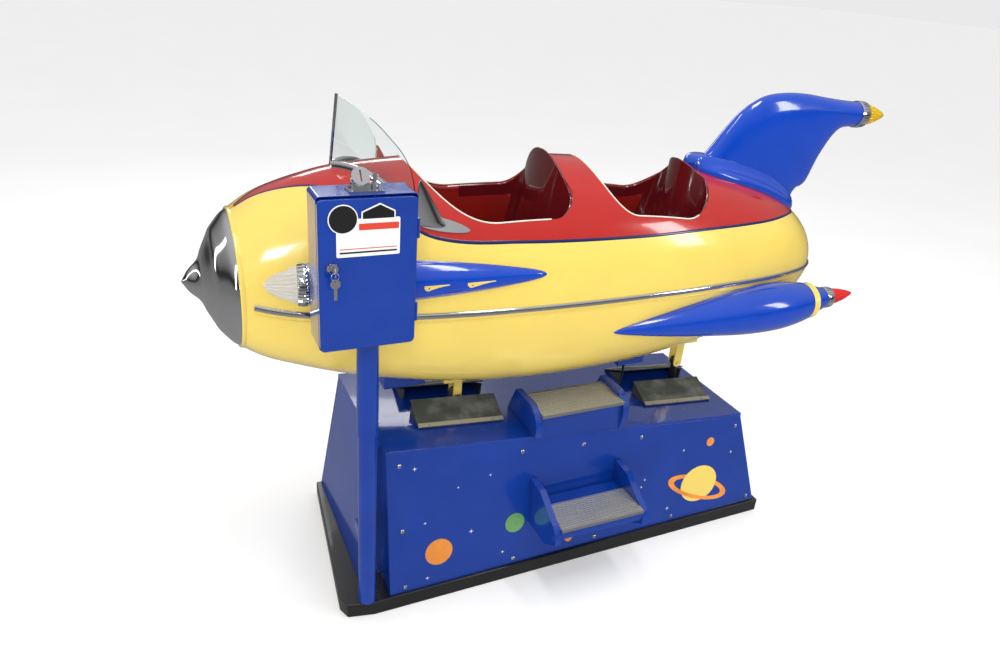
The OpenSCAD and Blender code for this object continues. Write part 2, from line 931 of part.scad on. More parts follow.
module nose_cap() {
  t = 4;
  inner = [for (i = [3:len(NOSE) - 1]) [max(NOSE[i][0] - t, 0), NOSE[i][1] - t]];
  color(chrome)
    translate([ring_x, 0, ring_z])
      rotate([0, -90, 0])
        difference() {
          rotate_extrude($fn = 64)
            polygon(concat([[0, 0.3]], NOSE));
          translate([0, 0, -5])
            cylinder(h = 40, r1 = 176, r2 = 150, $fn = 64);
          translate([0, 0, 34.9])
            cylinder(h = 40, r1 = 148, r2 = 66, $fn = 64);
        }
}

// Half-round strip along both sides, joined round the tail
module belt_trim() {
  xs = [for (x = STATIONS) if (x > -1040) x];
  right = [for (x = xs) [x, -half_w(x)]];
  left = [for (i = [len(xs) - 1:-1:0]) [xs[i], half_w(xs[i])]];
  path = concat(right, left);
  m = len(path) - 1;
  rows = [for (i = [0:m])
    let (
      a = path[max(i - 1, 0)],
      b = path[min(i + 1, m)],
      d = (b - a) / norm(b - a),
      out = [d[1], -d[0]],
      p = path[i],
      z = mid_z(p[0])
    )
    [for (k = [0:6])
      let (g = 90 - k * 30, o = out * (skin_gap + 0.8 * belt_r * cos(g)))
      [p[0] + o[0], p[1] + o[1], z + belt_r * sin(g)]]];
  color(chrome)
    tube_skin(rows);
}

// ---- underside of the ship ----
module keel_blocks() {
  color("navy")
    difference() {
      union() {
        translate([-650, -60, 645])
          cube([135, 120, 80]);
        translate([210, -60, rear_block_z])
          cube([110, 120, 80]);
      }
      body_core(skin_gap);
    }
}

// Ship's yellow fork on the front pivot
module front_fork() {
  y0 = upright_w / 2 + 0.5;
  x = front_pin[0];
  color("gold")
    difference() {
      union() {
        both_sides() {
          translate([x - 14, y0, front_pin[2]])
            cube([28, 6, 110]);
          translate([x, 0, front_pin[2]])
            along_y(30, y0, y0 + 6);
        }
        translate([x - 60, -50, 628])
          cube([120, 100, 30]);
      }
      body_core(skin_gap);
      translate([x, 0, front_pin[2]])
        along_y(ship_pin_d + 2 * pin_clearance, -40, 40);
    }
}

// Ship's yellow clevis and its own pin, which carries the drive rod's eye
module rear_clevis() {
  x = rear_pin[0];
  y0 = 13;
  color("gold")
    difference() {
      union() {
        both_sides() {
          translate([x - 17, y0, rear_pin[2]])
            cube([34, 6, 120]);
          translate([x, 0, rear_pin[2]])
            along_y(34, y0, y0 + 6);
        }
        translate([x, 0, rear_pin[2]])
          along_y(ship_pin_d, -26, 26);
        translate([x - 50, -45, 640])
          cube([100, 90, 40]);
      }
      body_core(skin_gap);
    }
}

// ---- cockpits ----
tub_t = 5;
tub_floor = 800;

module tub(x0, x1, half, z_top) {
  color(maroon)
    difference() {
      translate([x0, -half, tub_floor])
        cube([x1 - x0, 2 * half, z_top - tub_floor]);
      translate([x0 + tub_t, -half + tub_t, tub_floor + tub_t])
        cube([x1 - x0 - 2 * tub_t, 2 * half - 2 * tub_t, z_top]);
    }
}

module front_cockpit_tub() {
  tub(-600, -112, 192, 1188);
}

module rear_cockpit_tub() {
  tub(-48, 420, 176, 1168);
}

// Bench with an arched back that fills the opening's rear end up to the deck
module seat(x_back, x_front, half, floor_z) {
  w = half_w(x_back) - shell_t - 6;
  h = top_z(x_back) - mid_z(x_back) - shell_t - 4;
  zc = mid_z(x_back);
  bottom = floor_z + 140;
  color(maroon)
    union() {
      translate([x_front, -half, floor_z])
        cube([x_back - x_front, 2 * half, 140]);
      translate([x_back - 32, 0, 0])
        rotate([90, 0, 90])
          linear_extrude(30)
            polygon(concat(
              [[-half, bottom - eps], [half, bottom - eps]],
              [for (a = [0:6:180]) if (w * abs(cos(a)) < half) [w * cos(a), zc + h * sin(a)]]
            ));
    }
}

module front_seat() {
  seat(-118, -330, 185, tub_floor + tub_t + 0.3);
}

module rear_seat() {
  seat(414, 190, 168, tub_floor + tub_t + 0.3);
}

wheel_pos = [-470, 0, 1030];
wheel_lean = 110;

module steering_column() {
  color("dimgray")
    translate(wheel_pos)
      rotate([0, -wheel_lean, 0])
        translate([0, 0, 16])
          cylinder(h = 112, d = 22, $fn = 32);
}

module steering_wheel() {
  color("black")
    translate(wheel_pos)
      rotate([0, -wheel_lean, 0])
        union() {
          rotate_extrude($fn = 60)
            translate([84, 0])
              circle(d = 16, $fn = 20);
          cylinder(h = 30, d = 44, center = true, $fn = 40);
          for (a = [60, 180, 300])
            rotate([0, 0, a])
              translate([0, -6, -3])
                cube([80, 12, 6]);
        }
}

module rear_grab_bar() {
  x = 20;
  z = 1120;
  y = 120;
  color(chrome)
    union() {
      translate([x, 0, z])
        along_y(22, -y, y);
      for (s = [-1, 1])
        translate([0, s * y, z])
          along_x(22, -48 + tub_t + 0.3, x + 8);
      for (s = [-1, 1])
        translate([0, s * y, z])
          along_x(44, -48 + tub_t + 0.3, -48 + tub_t + 6);
    }
}

// ---- windshield ----
ws_foot = [-788, 0];
ws_side = [-600, -186];
function ws_base(t, lift) =
  let (x = mix(ws_foot[0], ws_side[0], t), y = mix(ws_foot[1], ws_side[1], t))
  [x, y, surface_z(x, y) + lift];
ws_up = [0.105, 0, 1];
function ws_point(t, z) =
  let (b = ws_base(t, 0))
  [b[0] + ws_up[0] * (z - 1342), b[1], z];

PANE_TOP = [[0, 1523], [0.45, 1466], [0.78, 1399], [0.9, 1356], [0.985, 1292]];

// One pane: a row of upright strips from the sill to the swept top edge
module windshield_pane() {
  rows = [for (i = [0:10])
    let (t = mix(0.003, 0.985, i / 10), low = ws_point(t, ws_base(t, 12)[2]), high = ws_point(t, lookup(t, PANE_TOP)))
    [low, high, high - [0, pane_t, 0], low - [0, pane_t, 0]]];
  tube_skin(rows);
}

module windshield_panes() {
  color("lightcyan", 0.4)
    both_sides()
      windshield_pane();
}

// The space the panes take up, with a little play
module pane_space() {
  both_sides()
    for (s = [-1, 1])
      translate([0, s * 0.4, 0])
        windshield_pane();
}

module windshield_frame() {
  rows = [for (i = [0:8])
    let (b = ws_base(mix(0.002, 0.9, i / 8), 0))
    [
      [b[0] + 6, b[1] - 2, b[2] - 30],
      [b[0] - 1, b[1] - 7.5, b[2] + 20],
      [b[0] - 5, b[1] - 7.5, b[2] + 20],
      [b[0] - 16, b[1] - 10, b[2] + 3],
      [b[0] - 16, b[1] - 10, b[2] - 30]
    ]];
  color(chrome)
    difference() {
      both_sides()
        tube_skin(rows);
      body_core(skin_gap);
      pane_space();
    }
}

module windshield_brackets() {
  y = -190;
  color(chrome)
    difference() {
      both_sides()
        union() {
          hull() {
            translate([-600, y - 2, 1150])
              cylinder(h = 84, d = 26, $fn = 32);
            translate([-530, y - 10, 1150])
              cylinder(h = 72, d = 38, $fn = 32);
            translate([-462, y - 8, 1150])
              cylinder(h = 66, d = 8, $fn = 32);
          }
          translate([0, y - 8, 0])
            rotate([90, 0, 0])
              linear_extrude(3)
                polygon([[-606, 1342], [-612, 1200], [-527, 1200]]);
        }
      body_core(skin_gap);
      pane_space();
    }
}

// ---- pods and lamps ----
pod_from = [-905, -181, 1078];
pod_to = [-215, -249, 1067];
POD = [[0, 0], [62, 0], [64, 120], [62, 260], [54, 370], [40, 500], [22, 610], [9, 670], [0, 684]];
lamp_r = 60;
bezel_len = 16;

// Turns a shape that stands on Z so that it points from one place towards another
module aim(from, to) {
  v = to - from;
  translate(from)
    rotate([0, acos(v[2] / norm(v)), atan2(v[1], v[0])])
      children();
}

module side_pods() {
  color(base_blue)
    difference() {
      both_sides()
        aim(pod_from, pod_to)
          rotate_extrude($fn = 40)
            polygon(POD);
      body_core(skin_gap);
    }
}

module headlamp_bezels() {
  color(chrome)
    difference() {
      both_sides()
        aim(pod_from, pod_to)
          translate([0, 0, -bezel_len - 0.3])
            cylinder(h = bezel_len, r = lamp_r + 3, $fn = 48);
      body_core(skin_gap);
    }
}

module headlamp_lenses() {
  color("whitesmoke", 0.6)
    difference() {
      both_sides()
        aim(pod_from, pod_to)
          rotate([180, 0, 0])
            translate([0, 0, bezel_len + 0.6])
              rotate_extrude($fn = 48)
                polygon([[0, 0], [lamp_r - 4, 0], [lamp_r - 8, 25], [lamp_r - 20, 58],
                         [lamp_r - 36, 88], [10, 110], [0, 116]]);
      body_core(skin_gap);
    }
}

engine_from = [37, -244, 843];
engine_to = [1051, -250, 876];
ENGINE = [
  [0, 0], [14, 50], [30, 130], [58, 320], [76, 460], [84, 570], [84, 650], [76, 720], [64, 775],
  [62, 776], [62, 806], [50, 807], [47, 830], [38, 868], [0, 868]
];

module engine_pods() {
  color(base_blue)
    difference() {
      both_sides()
        aim(engine_from, engine_to)
          rotate_extrude($fn = 40)
            polygon(ENGINE);
      body_core(skin_gap);
    }
}

module lamp_bezel(r) {
  difference() {
    cylinder(h = 34, r1 = r + 4, r2 = r - 2, $fn = 40);
    translate([0, 0, 24])
      cylinder(h = 20, r = r - 6, $fn = 40);
  }
}

module lamp_lens(r, h) {
  rotate_extrude($fn = 40)
    polygon([[0, 0], [r - 6.4, 0], [r - 6.4, 10.2], [r - 4, 10.2], [r - 7, h * 0.5],
             [r - 17, h * 0.8], [4, h], [0, h + 2]]);
}

module engine_bezels() {
  color(chrome)
    both_sides()
      aim(engine_from, engine_to)
        translate([0, 0, 868.3])
          lamp_bezel(34);
}

module engine_lenses() {
  color("red")
    both_sides()
      aim(engine_from, engine_to)
        translate([0, 0, 868.3 + 24.3])
          lamp_lens(34, 116);
}

// Fin outline in X and Z, from the saddle's front end round the tip and back down
FIN = [
  [425, 1240], [440, 1318], [478, 1340], [502, 1377], [531, 1413], [583, 1472], [638, 1508],
  [690, 1529], [769, 1538], [860, 1535], [958, 1523], [1108, 1509], [1112, 1425], [1052, 1421],
  [1031, 1409], [1006, 1375], [971, 1304], [946, 1235], [920, 1212], [892, 1207], [866, 1180],
  [880, 1100]
];
fin_tip = [1112, 0, 1467];

module saddle_form() {
  xs = [for (i = [0:14]) mix(400, 892, i / 14)];
  function reach(x) = 12 + 14 * sin(180 * pow((x - 400) / 492, 1.4));
  shell_strip(xs, function (x) reach(x), function (x) -reach(x), 12, 16, skin_gap);
}

module tail_fin() {
  color(base_blue)
    difference() {
      union() {
        translate([0, fin_t / 2, 0])
          rotate([90, 0, 0])
            linear_extrude(fin_t)
              polygon(FIN);
        translate([0, 0, fin_tip[2]])
          along_x(86, 1060, fin_tip[0]);
      }
      body_core(16.3);
      saddle_form();
    }
}

module fin_saddle() {
  color(base_blue)
    saddle_form();
}

module tail_lamp() {
  color("gold")
    translate([fin_tip[0] + 0.3, 0, fin_tip[2]])
      rotate([0, 90, 0])
        union() {
          cylinder(h = 26, r1 = 45, r2 = 42, $fn = 48);
          rotate_extrude($fn = 48)
            polygon([[0, 20], [38, 20], [38, 34], [36, 70], [25, 112], [5, 148], [0, 151]]);
        }
}

module power_cable() {
  n = len(CABLE) - 1;
  sides = 8;
  rows = [for (i = [0:n])
    let (
      v = CABLE[min(i + 1, n)] - CABLE[max(i - 1, 0)],
      d = v / norm(v),
      side = cross(d, abs(d[2]) > 0.9 ? [0, 1, 0] : [0, 0, 1]),
      a = side / norm(side),
      b = cross(d, a)
    )
    [for (k = [0:sides - 1]) CABLE[i] + cable_d / 2 * (a * cos(k * 360 / sides) + b * sin(k * 360 / sides))]];
  color("black")
    tube_skin(rows);
}

plinth();
cabinet_frame();
front_panel();
rear_panel();
left_end_panel();
right_end_panel();
corner_recess();
top_deck();
panel_screws();
upper_step_housing();
upper_step_tread();
lower_step_housing();
lower_step_tread();
slot_brackets();
rubber_flaps();
flap_strips();
front_upright();
front_pivot_pin();
gearmotor();
control_box();
crank_arm();
drive_rod();
post_column();
post_tube();
coin_box_case();
coin_box_door();
price_plate();
door_lock();
hanging_key();
coin_entry();
coin_return_plunger();
coin_mechanism();
cash_box();
hull_lower();
hull_deck();
nose_cap();
belt_trim();
keel_blocks();
front_fork();
rear_clevis();
front_cockpit_tub();
rear_cockpit_tub();
front_seat();
rear_seat();
steering_column();
steering_wheel();
rear_grab_bar();
windshield_panes();
windshield_frame();
windshield_brackets();
headlamp_lenses();
headlamp_bezels();
side_pods();
engine_pods();
engine_bezels();
engine_lenses();
tail_fin();
fin_saddle();
tail_lamp();
power_cable();
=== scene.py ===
import math
import random

import bmesh
import bpy
from mathutils import Matrix, Vector
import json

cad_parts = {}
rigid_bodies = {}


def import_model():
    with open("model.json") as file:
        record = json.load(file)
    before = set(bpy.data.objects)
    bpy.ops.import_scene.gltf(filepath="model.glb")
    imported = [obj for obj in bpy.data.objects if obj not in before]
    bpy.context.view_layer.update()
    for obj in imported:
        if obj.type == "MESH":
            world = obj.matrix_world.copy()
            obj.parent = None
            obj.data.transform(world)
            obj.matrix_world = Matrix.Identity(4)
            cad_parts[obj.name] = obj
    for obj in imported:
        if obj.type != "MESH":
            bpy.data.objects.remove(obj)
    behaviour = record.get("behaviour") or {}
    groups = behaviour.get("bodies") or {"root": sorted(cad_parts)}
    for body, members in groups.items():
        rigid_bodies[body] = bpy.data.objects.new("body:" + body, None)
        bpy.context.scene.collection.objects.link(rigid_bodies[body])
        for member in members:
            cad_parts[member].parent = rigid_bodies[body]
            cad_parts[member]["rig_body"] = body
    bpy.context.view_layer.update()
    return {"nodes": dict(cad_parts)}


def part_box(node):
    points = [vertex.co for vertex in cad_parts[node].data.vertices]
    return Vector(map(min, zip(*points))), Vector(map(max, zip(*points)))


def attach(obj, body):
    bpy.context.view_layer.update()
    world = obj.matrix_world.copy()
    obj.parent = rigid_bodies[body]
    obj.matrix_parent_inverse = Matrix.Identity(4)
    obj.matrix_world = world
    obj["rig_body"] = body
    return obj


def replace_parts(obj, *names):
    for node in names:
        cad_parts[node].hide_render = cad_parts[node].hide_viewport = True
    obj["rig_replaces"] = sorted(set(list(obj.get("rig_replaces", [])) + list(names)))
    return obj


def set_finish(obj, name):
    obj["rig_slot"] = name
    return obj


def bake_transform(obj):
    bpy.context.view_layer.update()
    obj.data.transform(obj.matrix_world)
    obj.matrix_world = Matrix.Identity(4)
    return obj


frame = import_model()
NODES = frame["nodes"]
random.seed(7)


def cosd(a):
    return math.cos(math.radians(a))


def sind(a):
    return math.sin(math.radians(a))


def mix(a, b, t):
    return a + (b - a) * t


# ---- camera ----
def add_camera():
    yaw, pitch, roll = 26.4, 25.8, 4.9
    forward = Vector((sind(yaw) * cosd(pitch), cosd(yaw) * cosd(pitch), -sind(pitch)))
    right = Vector((cosd(yaw), -sind(yaw), 0))
    up = right.cross(forward)
    x = cosd(roll) * right + sind(roll) * up
    y = cosd(roll) * up - sind(roll) * right
    data = bpy.data.cameras.new("camera")
    data.lens = 27.76
    data.sensor_width = 36
    cam = bpy.data.objects.new("camera", data)
    bpy.context.collection.objects.link(cam)
    turn = Matrix((x, y, -forward)).transposed().to_4x4()
    cam.matrix_world = Matrix.Translation((-1.26, -2.06, 1.87)) @ turn
    bpy.context.scene.camera = cam


add_camera()


# ---- materials ----
class Nodes:
    """Short forms for wiring one material."""

    def __init__(self, name):
        self.mat = bpy.data.materials.new(name)
        self.mat.use_nodes = True
        self.tree = self.mat.node_tree
        self.shader = self.tree.nodes["Principled BSDF"]
        self.coord = self.add("ShaderNodeTexCoord").outputs["Object"]

    def add(self, kind, **props):
        node = self.tree.nodes.new(kind)
        for key, value in props.items():
            setattr(node, key, value)
        return node

    def link(self, out, socket):
        self.tree.links.new(out, socket)

    def noise(self, scale, detail=4, stretch=(1, 1, 1), rough=0.55):
        place = self.add("ShaderNodeMapping")
        place.inputs["Scale"].default_value = stretch
        self.link(self.coord, place.inputs["Vector"])
        node = self.add("ShaderNodeTexNoise")
        node.inputs["Scale"].default_value = scale
        node.inputs["Detail"].default_value = detail
        node.inputs["Roughness"].default_value = rough
        self.link(place.outputs["Vector"], node.inputs["Vector"])
        return node.outputs["Fac"]

    def span(self, value, low, high, from_low=0.3, from_high=0.7):
        node = self.add("ShaderNodeMapRange")
        for key, v in (("From Min", from_low), ("From Max", from_high), ("To Min", low), ("To Max", high)):
            node.inputs[key].default_value = v
        self.link(value, node.inputs["Value"])
        return node.outputs["Result"]

    def blend(self, factor, a, b):
        node = self.add("ShaderNodeMix", data_type="RGBA")
        self.link(factor, node.inputs[0])
        for value, socket in ((a, node.inputs[6]), (b, node.inputs[7])):
            if isinstance(value, bpy.types.NodeSocket):
                self.link(value, socket)
            else:
                socket.default_value = (*value, 1)
        return node.outputs[2]

    def bump(self, height, strength, distance, after=None):
        node = self.add("ShaderNodeBump")
        node.inputs["Strength"].default_value = strength
        node.inputs["Distance"].default_value = distance
        self.link(height, node.inputs["Height"])
        if after:
            self.link(after, node.inputs["Normal"])
        return node.outputs["Normal"]

    def set(self, **values):
        for key, value in values.items():
            socket = self.shader.inputs[key.replace("_", " ")]
            if isinstance(value, bpy.types.NodeSocket):
                self.link(value, socket)
            else:
                socket.default_value = (*value, 1) if isinstance(value, tuple) else value
        return self.mat


def gloss_paint(name, rgb, rough=0.2, coat=0.7, vary=0.05, crease_shade=0.35, peel=0.02):
    """Enamel or gelcoat: faint mottling, orange peel, fine scratches, and painted shade darkening the
    creases.
    """
    n = Nodes(name)
    lo = tuple(c * (1 - vary) for c in rgb)
    hi = tuple(min(c * (1 + vary) + 0.002, 1) for c in rgb)
    colour = n.blend(n.span(n.noise(5), 0, 1), lo, hi)
    # painted shade: the colour is darkened in creases where ambient occlusion is low
    crease = n.add("ShaderNodeAmbientOcclusion", samples=4)
    crease.inputs["Distance"].default_value = 0.018
    shade = n.span(crease.outputs["AO"], crease_shade, 0, 0.3, 0.9)
    colour = n.blend(shade, colour, tuple(c * 0.45 for c in rgb))
    scuff = n.span(n.noise(90, 2, (1, 1, 9)), 0, 0.10, 0.62, 0.78)
    base = n.span(n.noise(16), rough - 0.04, rough + 0.06)
    total = n.add("ShaderNodeMath", operation="ADD")
    n.link(base, total.inputs[0])
    n.link(scuff, total.inputs[1])
    return n.set(
        Base_Color=colour,
        Roughness=total.outputs[0],
        Normal=n.bump(n.noise(160, 1), peel, 0.002),
        Coat_Weight=coat,
        Coat_Roughness=0.04,
        Specular_IOR_Level=0.5,
    )


def metal(name, rgb, rough, spread=0.06, scratch=0.03, stretch=(1, 1, 1), scale=40, crease_shade=0.4):
    """Plated or bare metal: smudges in the roughness, fine scratches, painted shade darkening the creases.
    """
    n = Nodes(name)
    # painted shade: the colour is darkened in creases where ambient occlusion is low
    crease = n.add("ShaderNodeAmbientOcclusion", samples=4)
    crease.inputs["Distance"].default_value = 0.008
    shade = n.span(crease.outputs["AO"], crease_shade, 0, 0.25, 0.85)
    colour = n.blend(n.span(n.noise(9), 0, 1), tuple(c * 0.93 for c in rgb), rgb)
    colour = n.blend(shade, colour, tuple(c * 0.25 for c in rgb))
    return n.set(
        Base_Color=colour,
        Metallic=1.0,
        Roughness=n.span(n.noise(scale * 0.4, 5, stretch), rough, rough + spread),
        Normal=n.bump(n.noise(scale * 6, 3, stretch), scratch, 0.001),
    )


def rubber(name, rgb, rough=0.7, dust=(0.2, 0.21, 0.2), amount=0.4):
    n = Nodes(name)
    cloud = n.span(n.noise(14, 6), 0, amount, 0.45, 0.75)
    streak = n.span(n.noise(30, 5, (0.25, 2, 2)), 0, amount * 0.6, 0.5, 0.8)
    colour = n.blend(cloud, rgb, dust)
    colour = n.blend(streak, colour, tuple(c * 0.4 for c in rgb))
    return n.set(
        Base_Color=colour,
        Roughness=n.span(n.noise(25), rough - 0.1, rough + 0.12),
        Normal=n.bump(n.noise(220, 4), 0.25, 0.002),
    )


def clear(name, rgb, rough=0.03, ior=1.49, vary=0.03, through=1.0):
    """Moulded acrylic: slightly uneven surface and faint haze."""
    n = Nodes(name)
    tint = n.blend(n.span(n.noise(12), 0, 1), tuple(c * (1 - vary) for c in rgb), rgb)
    return n.set(
        Base_Color=tint,
        Transmission_Weight=through,
        IOR=ior,
        Roughness=n.span(n.noise(20), rough, rough + 0.05),
        Normal=n.bump(n.noise(12, 1), 0.015, 0.003),
    )


def matte(name, rgb, rough=0.5, vary=0.12, bump=0.12, scale=60):
    n = Nodes(name)
    colour = n.blend(n.span(n.noise(scale / 4), 0, 1), tuple(c * (1 - vary) for c in rgb),
        tuple(c * (1 + vary) for c in rgb))
    return n.set(
        Base_Color=colour,
        Roughness=n.span(n.noise(scale / 2), rough - 0.08, rough + 0.08),
        Normal=n.bump(n.noise(scale * 3, 3), bump, 0.001),
    )


M = {
    "base_blue": gloss_paint("base_blue", (0.0, 0.036, 0.30), 0.17, 0.8, 0.08, 0.5),
    "board_blue": gloss_paint("board_blue", (0.0, 0.034, 0.28), 0.19, 0.7, 0.08, 0.5),
    "ship_blue": gloss_paint("ship_blue", (0.0, 0.050, 0.45), 0.12, 0.9, 0.05, 0.3),
    "yellow": gloss_paint("yellow", (0.86, 0.64, 0.13), 0.17, 0.8, 0.03, 0.25),
    "red": gloss_paint("red", (0.44, 0.008, 0.004), 0.13, 0.9, 0.05, 0.3),
    "maroon": gloss_paint("maroon", (0.10, 0.004, 0.007), 0.11, 0.9, 0.10, 0.3),
    "deep_red": gloss_paint("deep_red", (0.22, 0.008, 0.005), 0.14, 0.8, 0.08, 0.3),
    "pin_blue": gloss_paint("pin_blue", (0.004, 0.01, 0.09), 0.2, 0.6),
    "cream": gloss_paint("cream", (0.82, 0.78, 0.66), 0.25, 0.4, 0.03),
    "white": gloss_paint("white", (0.85, 0.85, 0.83), 0.3, 0.3, 0.02),
    "black": gloss_paint("black", (0.008, 0.008, 0.009), 0.3, 0.3, 0.2),
    "label_red": gloss_paint("label_red", (0.68, 0.05, 0.02), 0.3, 0.3, 0.03),
    "orange": gloss_paint("orange", (0.82, 0.27, 0.03), 0.3, 0.5, 0.25),
    "green": gloss_paint("green", (0.10, 0.26, 0.08), 0.3, 0.5, 0.5),
    "frame": matte("frame", (0.05, 0.05, 0.055), 0.45),
    "plastic": matte("plastic", (0.22, 0.23, 0.24), 0.5),
    "wheel": matte("wheel", (0.012, 0.012, 0.013), 0.28, 0.2, 0.05),
    "motor": matte("motor", (0.06, 0.075, 0.09), 0.4),
    "chrome": metal("chrome", (0.80, 0.80, 0.82), 0.04, 0.05, 0.015),
    "steel": metal("steel", (0.55, 0.55, 0.56), 0.22, 0.12, 0.05),
    "alloy": metal("alloy", (0.56, 0.57, 0.59), 0.40, 0.16, 0.12, (0.12, 3, 3), 60, 0.7),
    "flap": rubber("flap", (0.055, 0.065, 0.060), 0.7, (0.28, 0.29, 0.27), 0.6),
    "cable": rubber("cable", (0.008, 0.008, 0.008), 0.45, (0.03, 0.03, 0.03)),
    "pane": clear("pane", (0.93, 0.97, 0.96), 0.01),
    "lens": clear("lens", (0.98, 0.97, 0.93), 0.10, 1.49, 0.03, 0.45),
    "red_lens": clear("red_lens", (0.95, 0.02, 0.02), 0.08, 1.49, 0.03, 0.7),
    "yellow_lens": clear("yellow_lens", (1.0, 0.66, 0.0), 0.08, 1.49, 0.03, 0.6),
}
SLOT = {
    "base_blue": "blue_paint",
    "board_blue": "blue_board",
    "deep_red": "red_shell",
    "ship_blue": "blue_shell",
    "yellow": "yellow_shell",
    "red": "red_shell",
    "maroon": "maroon_shell",
    "pin_blue": "blue_shell",
    "cream": "white_plate",
    "white": "white_plate",
    "black": "black_board",
    "label_red": "red_shell",
    "orange": "yellow_paint",
    "green": "yellow_paint",
    "frame": "frame_paint",
    "plastic": "grey_plastic",
    "wheel": "black_plastic",
    "motor": "motor_cast",
    "chrome": "chrome",
    "steel": "steel",
    "alloy": "ribbed_tread",
    "flap": "flap_rubber",
    "cable": "cable_rubber",
    "pane": "clear_pane",
    "lens": "clear_lens",
    "red_lens": "red_lens",
    "yellow_lens": "yellow_lens",
}


# ---- making pieces ----
def finish_mesh(obj, angle=32):
    obj.data.polygons.foreach_set("use_smooth", [True] * len(obj.data.polygons))
    obj.data.set_sharp_from_angle(angle=math.radians(angle))


def piece(name, verts, faces, mat, body, replaces=(), angle=32):
    mesh = bpy.data.meshes.new(name)
    mesh.from_pydata([tuple(v) for v in verts], [], faces)
    mesh.validate()
    bm = bmesh.new()
    bm.from_mesh(mesh)
    bmesh.ops.remove_doubles(bm, verts=bm.verts, dist=1e-6)
    bmesh.ops.recalc_face_normals(bm, faces=bm.faces)
    bm.to_mesh(mesh)
    bm.free()
    obj = bpy.data.objects.new(name, mesh)
    bpy.context.collection.objects.link(obj)
    mesh.materials.append(M[mat])
    finish_mesh(obj, angle)
    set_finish(obj, SLOT[mat])
    if body:
        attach(obj, body)
    if replaces:
        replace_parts(obj, *replaces)
    return obj


def dress(node, mat, bevel=0.0015, segments=2, angle=32):
    """A copy of a CAD node's shape with its edges rounded."""
    src = NODES[node]
    mesh = src.data.copy()
    mesh.name = node + "_skin"
    bm = bmesh.new()
    bm.from_mesh(mesh)
    bmesh.ops.remove_doubles(bm, verts=bm.verts, dist=2e-6)
    bmesh.ops.dissolve_limit(bm, angle_limit=math.radians(0.5), verts=bm.verts, edges=bm.edges)
    bm.to_mesh(mesh)
    bm.free()
    obj = bpy.data.objects.new(node + "_skin", mesh)
    bpy.context.collection.objects.link(obj)
    mesh.materials.clear()
    mesh.materials.append(M[mat])
    if "custom_normal" in mesh.attributes:
        mesh.attributes.remove(mesh.attributes["custom_normal"])
    if bevel:
        mod = obj.modifiers.new("edges", "BEVEL")
        mod.width = bevel
        mod.segments = segments
        mod.limit_method = "ANGLE"
        mod.angle_limit = math.radians(28)
        mod.harden_normals = True
    finish_mesh(obj, angle)
    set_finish(obj, SLOT[mat])
    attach(obj, src["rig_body"])
    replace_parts(obj, node)
    return obj


def grid_faces(rows, cols, closed_cols=True, closed_rows=False):
    faces = []
    for i in range(rows if closed_rows else rows - 1):
        for j in range(cols if closed_cols else cols - 1):
            a, b = i * cols, (i + 1) % rows * cols
            k = (j + 1) % cols
            faces.append((a + j, a + k, b + k, b + j))
    return faces


def loft(name, rows, mat, body, replaces=(), caps=True, closed_rows=False, angle=32):
    n = len(rows[0])
    verts = [v for row in rows for v in row]
    faces = grid_faces(len(rows), n, True, closed_rows)
    if caps and not closed_rows:
        faces.append(tuple(range(n - 1, -1, -1)))
        faces.append(tuple(range(len(verts) - n, len(verts))))
    return piece(name, verts, faces, mat, body, replaces, angle)


def axes_of(direction):
    d = Vector(direction).normalized()
    side = d.cross(Vector((0, 0, 1)) if abs(d.z) < 0.9 else Vector((0, 1, 0))).normalized()
    return d, side, d.cross(side)


def lathe_rows(profile, start, direction, n=64, flute=None):
    """Rings round an axis; profile is (distance along, radius)."""
    d, u, v = axes_of(direction)
    rows = []
    for s, r in profile:
        ring = []
        for k in range(n):
            a = 2 * math.pi * k / n
            rr = r * (flute(s, a) if flute else 1)
            ring.append(Vector(start) + d * s + (u * math.cos(a) + v * math.sin(a)) * max(rr, 1e-5))
        rows.append(ring)
    return rows


def lathe(name, profile, start, direction, mat, body, n=64, flute=None, replaces=(), angle=32):
    rows = lathe_rows(profile, start, direction, n, flute)
    return loft(name, rows, mat, body, replaces, True, False, angle)


def spline(points, n):
    """Evenly spaced points on a smooth curve through the given ones."""
    pts = [Vector(p) for p in points]
    dense = []
    for i in range(len(pts) - 1):
        a, b, c, d = pts[max(i - 1, 0)], pts[i], pts[i + 1], pts[min(i + 2, len(pts) - 1)]
        for k in range(24):
            t = k / 24
            dense.append(0.5 * ((2 * b) + (c - a) * t + (2 * a - 5 * b + 4 * c - d) * t * t
                + (3 * b - a - 3 * c + d) * t**3))
    dense.append(pts[-1])
    reach = [0.0]
    for p, q in zip(dense, dense[1:]):
        reach.append(reach[-1] + (q - p).length)
    out, j = [], 0
    for k in range(n):
        want = reach[-1] * k / (n - 1)
        while j < len(reach) - 2 and reach[j + 1] < want:
            j += 1
        span = max(reach[j + 1] - reach[j], 1e-9)
        out.append(dense[j].lerp(dense[j + 1], min(max((want - reach[j]) / span, 0), 1)))
    return out


def sweep_rows(path, shape, closed=False, up=None):
    """The outline shape, a list of (across, up), carried along a path."""
    n = len(path)
    rows = []
    side = None
    for i, p in enumerate(path):
        a = path[(i - 1) % n] if closed or i else path[0]
        b = path[(i + 1) % n] if closed or i < n - 1 else path[-1]
        d = (b - a).normalized()
        if up is not None:
            u = up(p) if callable(up) else Vector(up)
            s = d.cross(u).normalized()
        else:
            s = side if side is not None else axes_of(d)[1]
            s = (s - d * s.dot(d)).normalized()
            side = s
        w = s.cross(d)
        rows.append([p + s * x + w * y for x, y in shape])
    return rows


def ring_shape(r, n=12):
    return [(r * math.cos(2 * math.pi * k / n), r * math.sin(2 * math.pi * k / n)) for k in range(n)]


def tube(name, path, r, mat, body, n=12, closed=False, replaces=()):
    rows = sweep_rows([Vector(p) for p in path], ring_shape(r, n), closed)
    return loft(name, rows, mat, body, replaces, not closed, closed, 50)


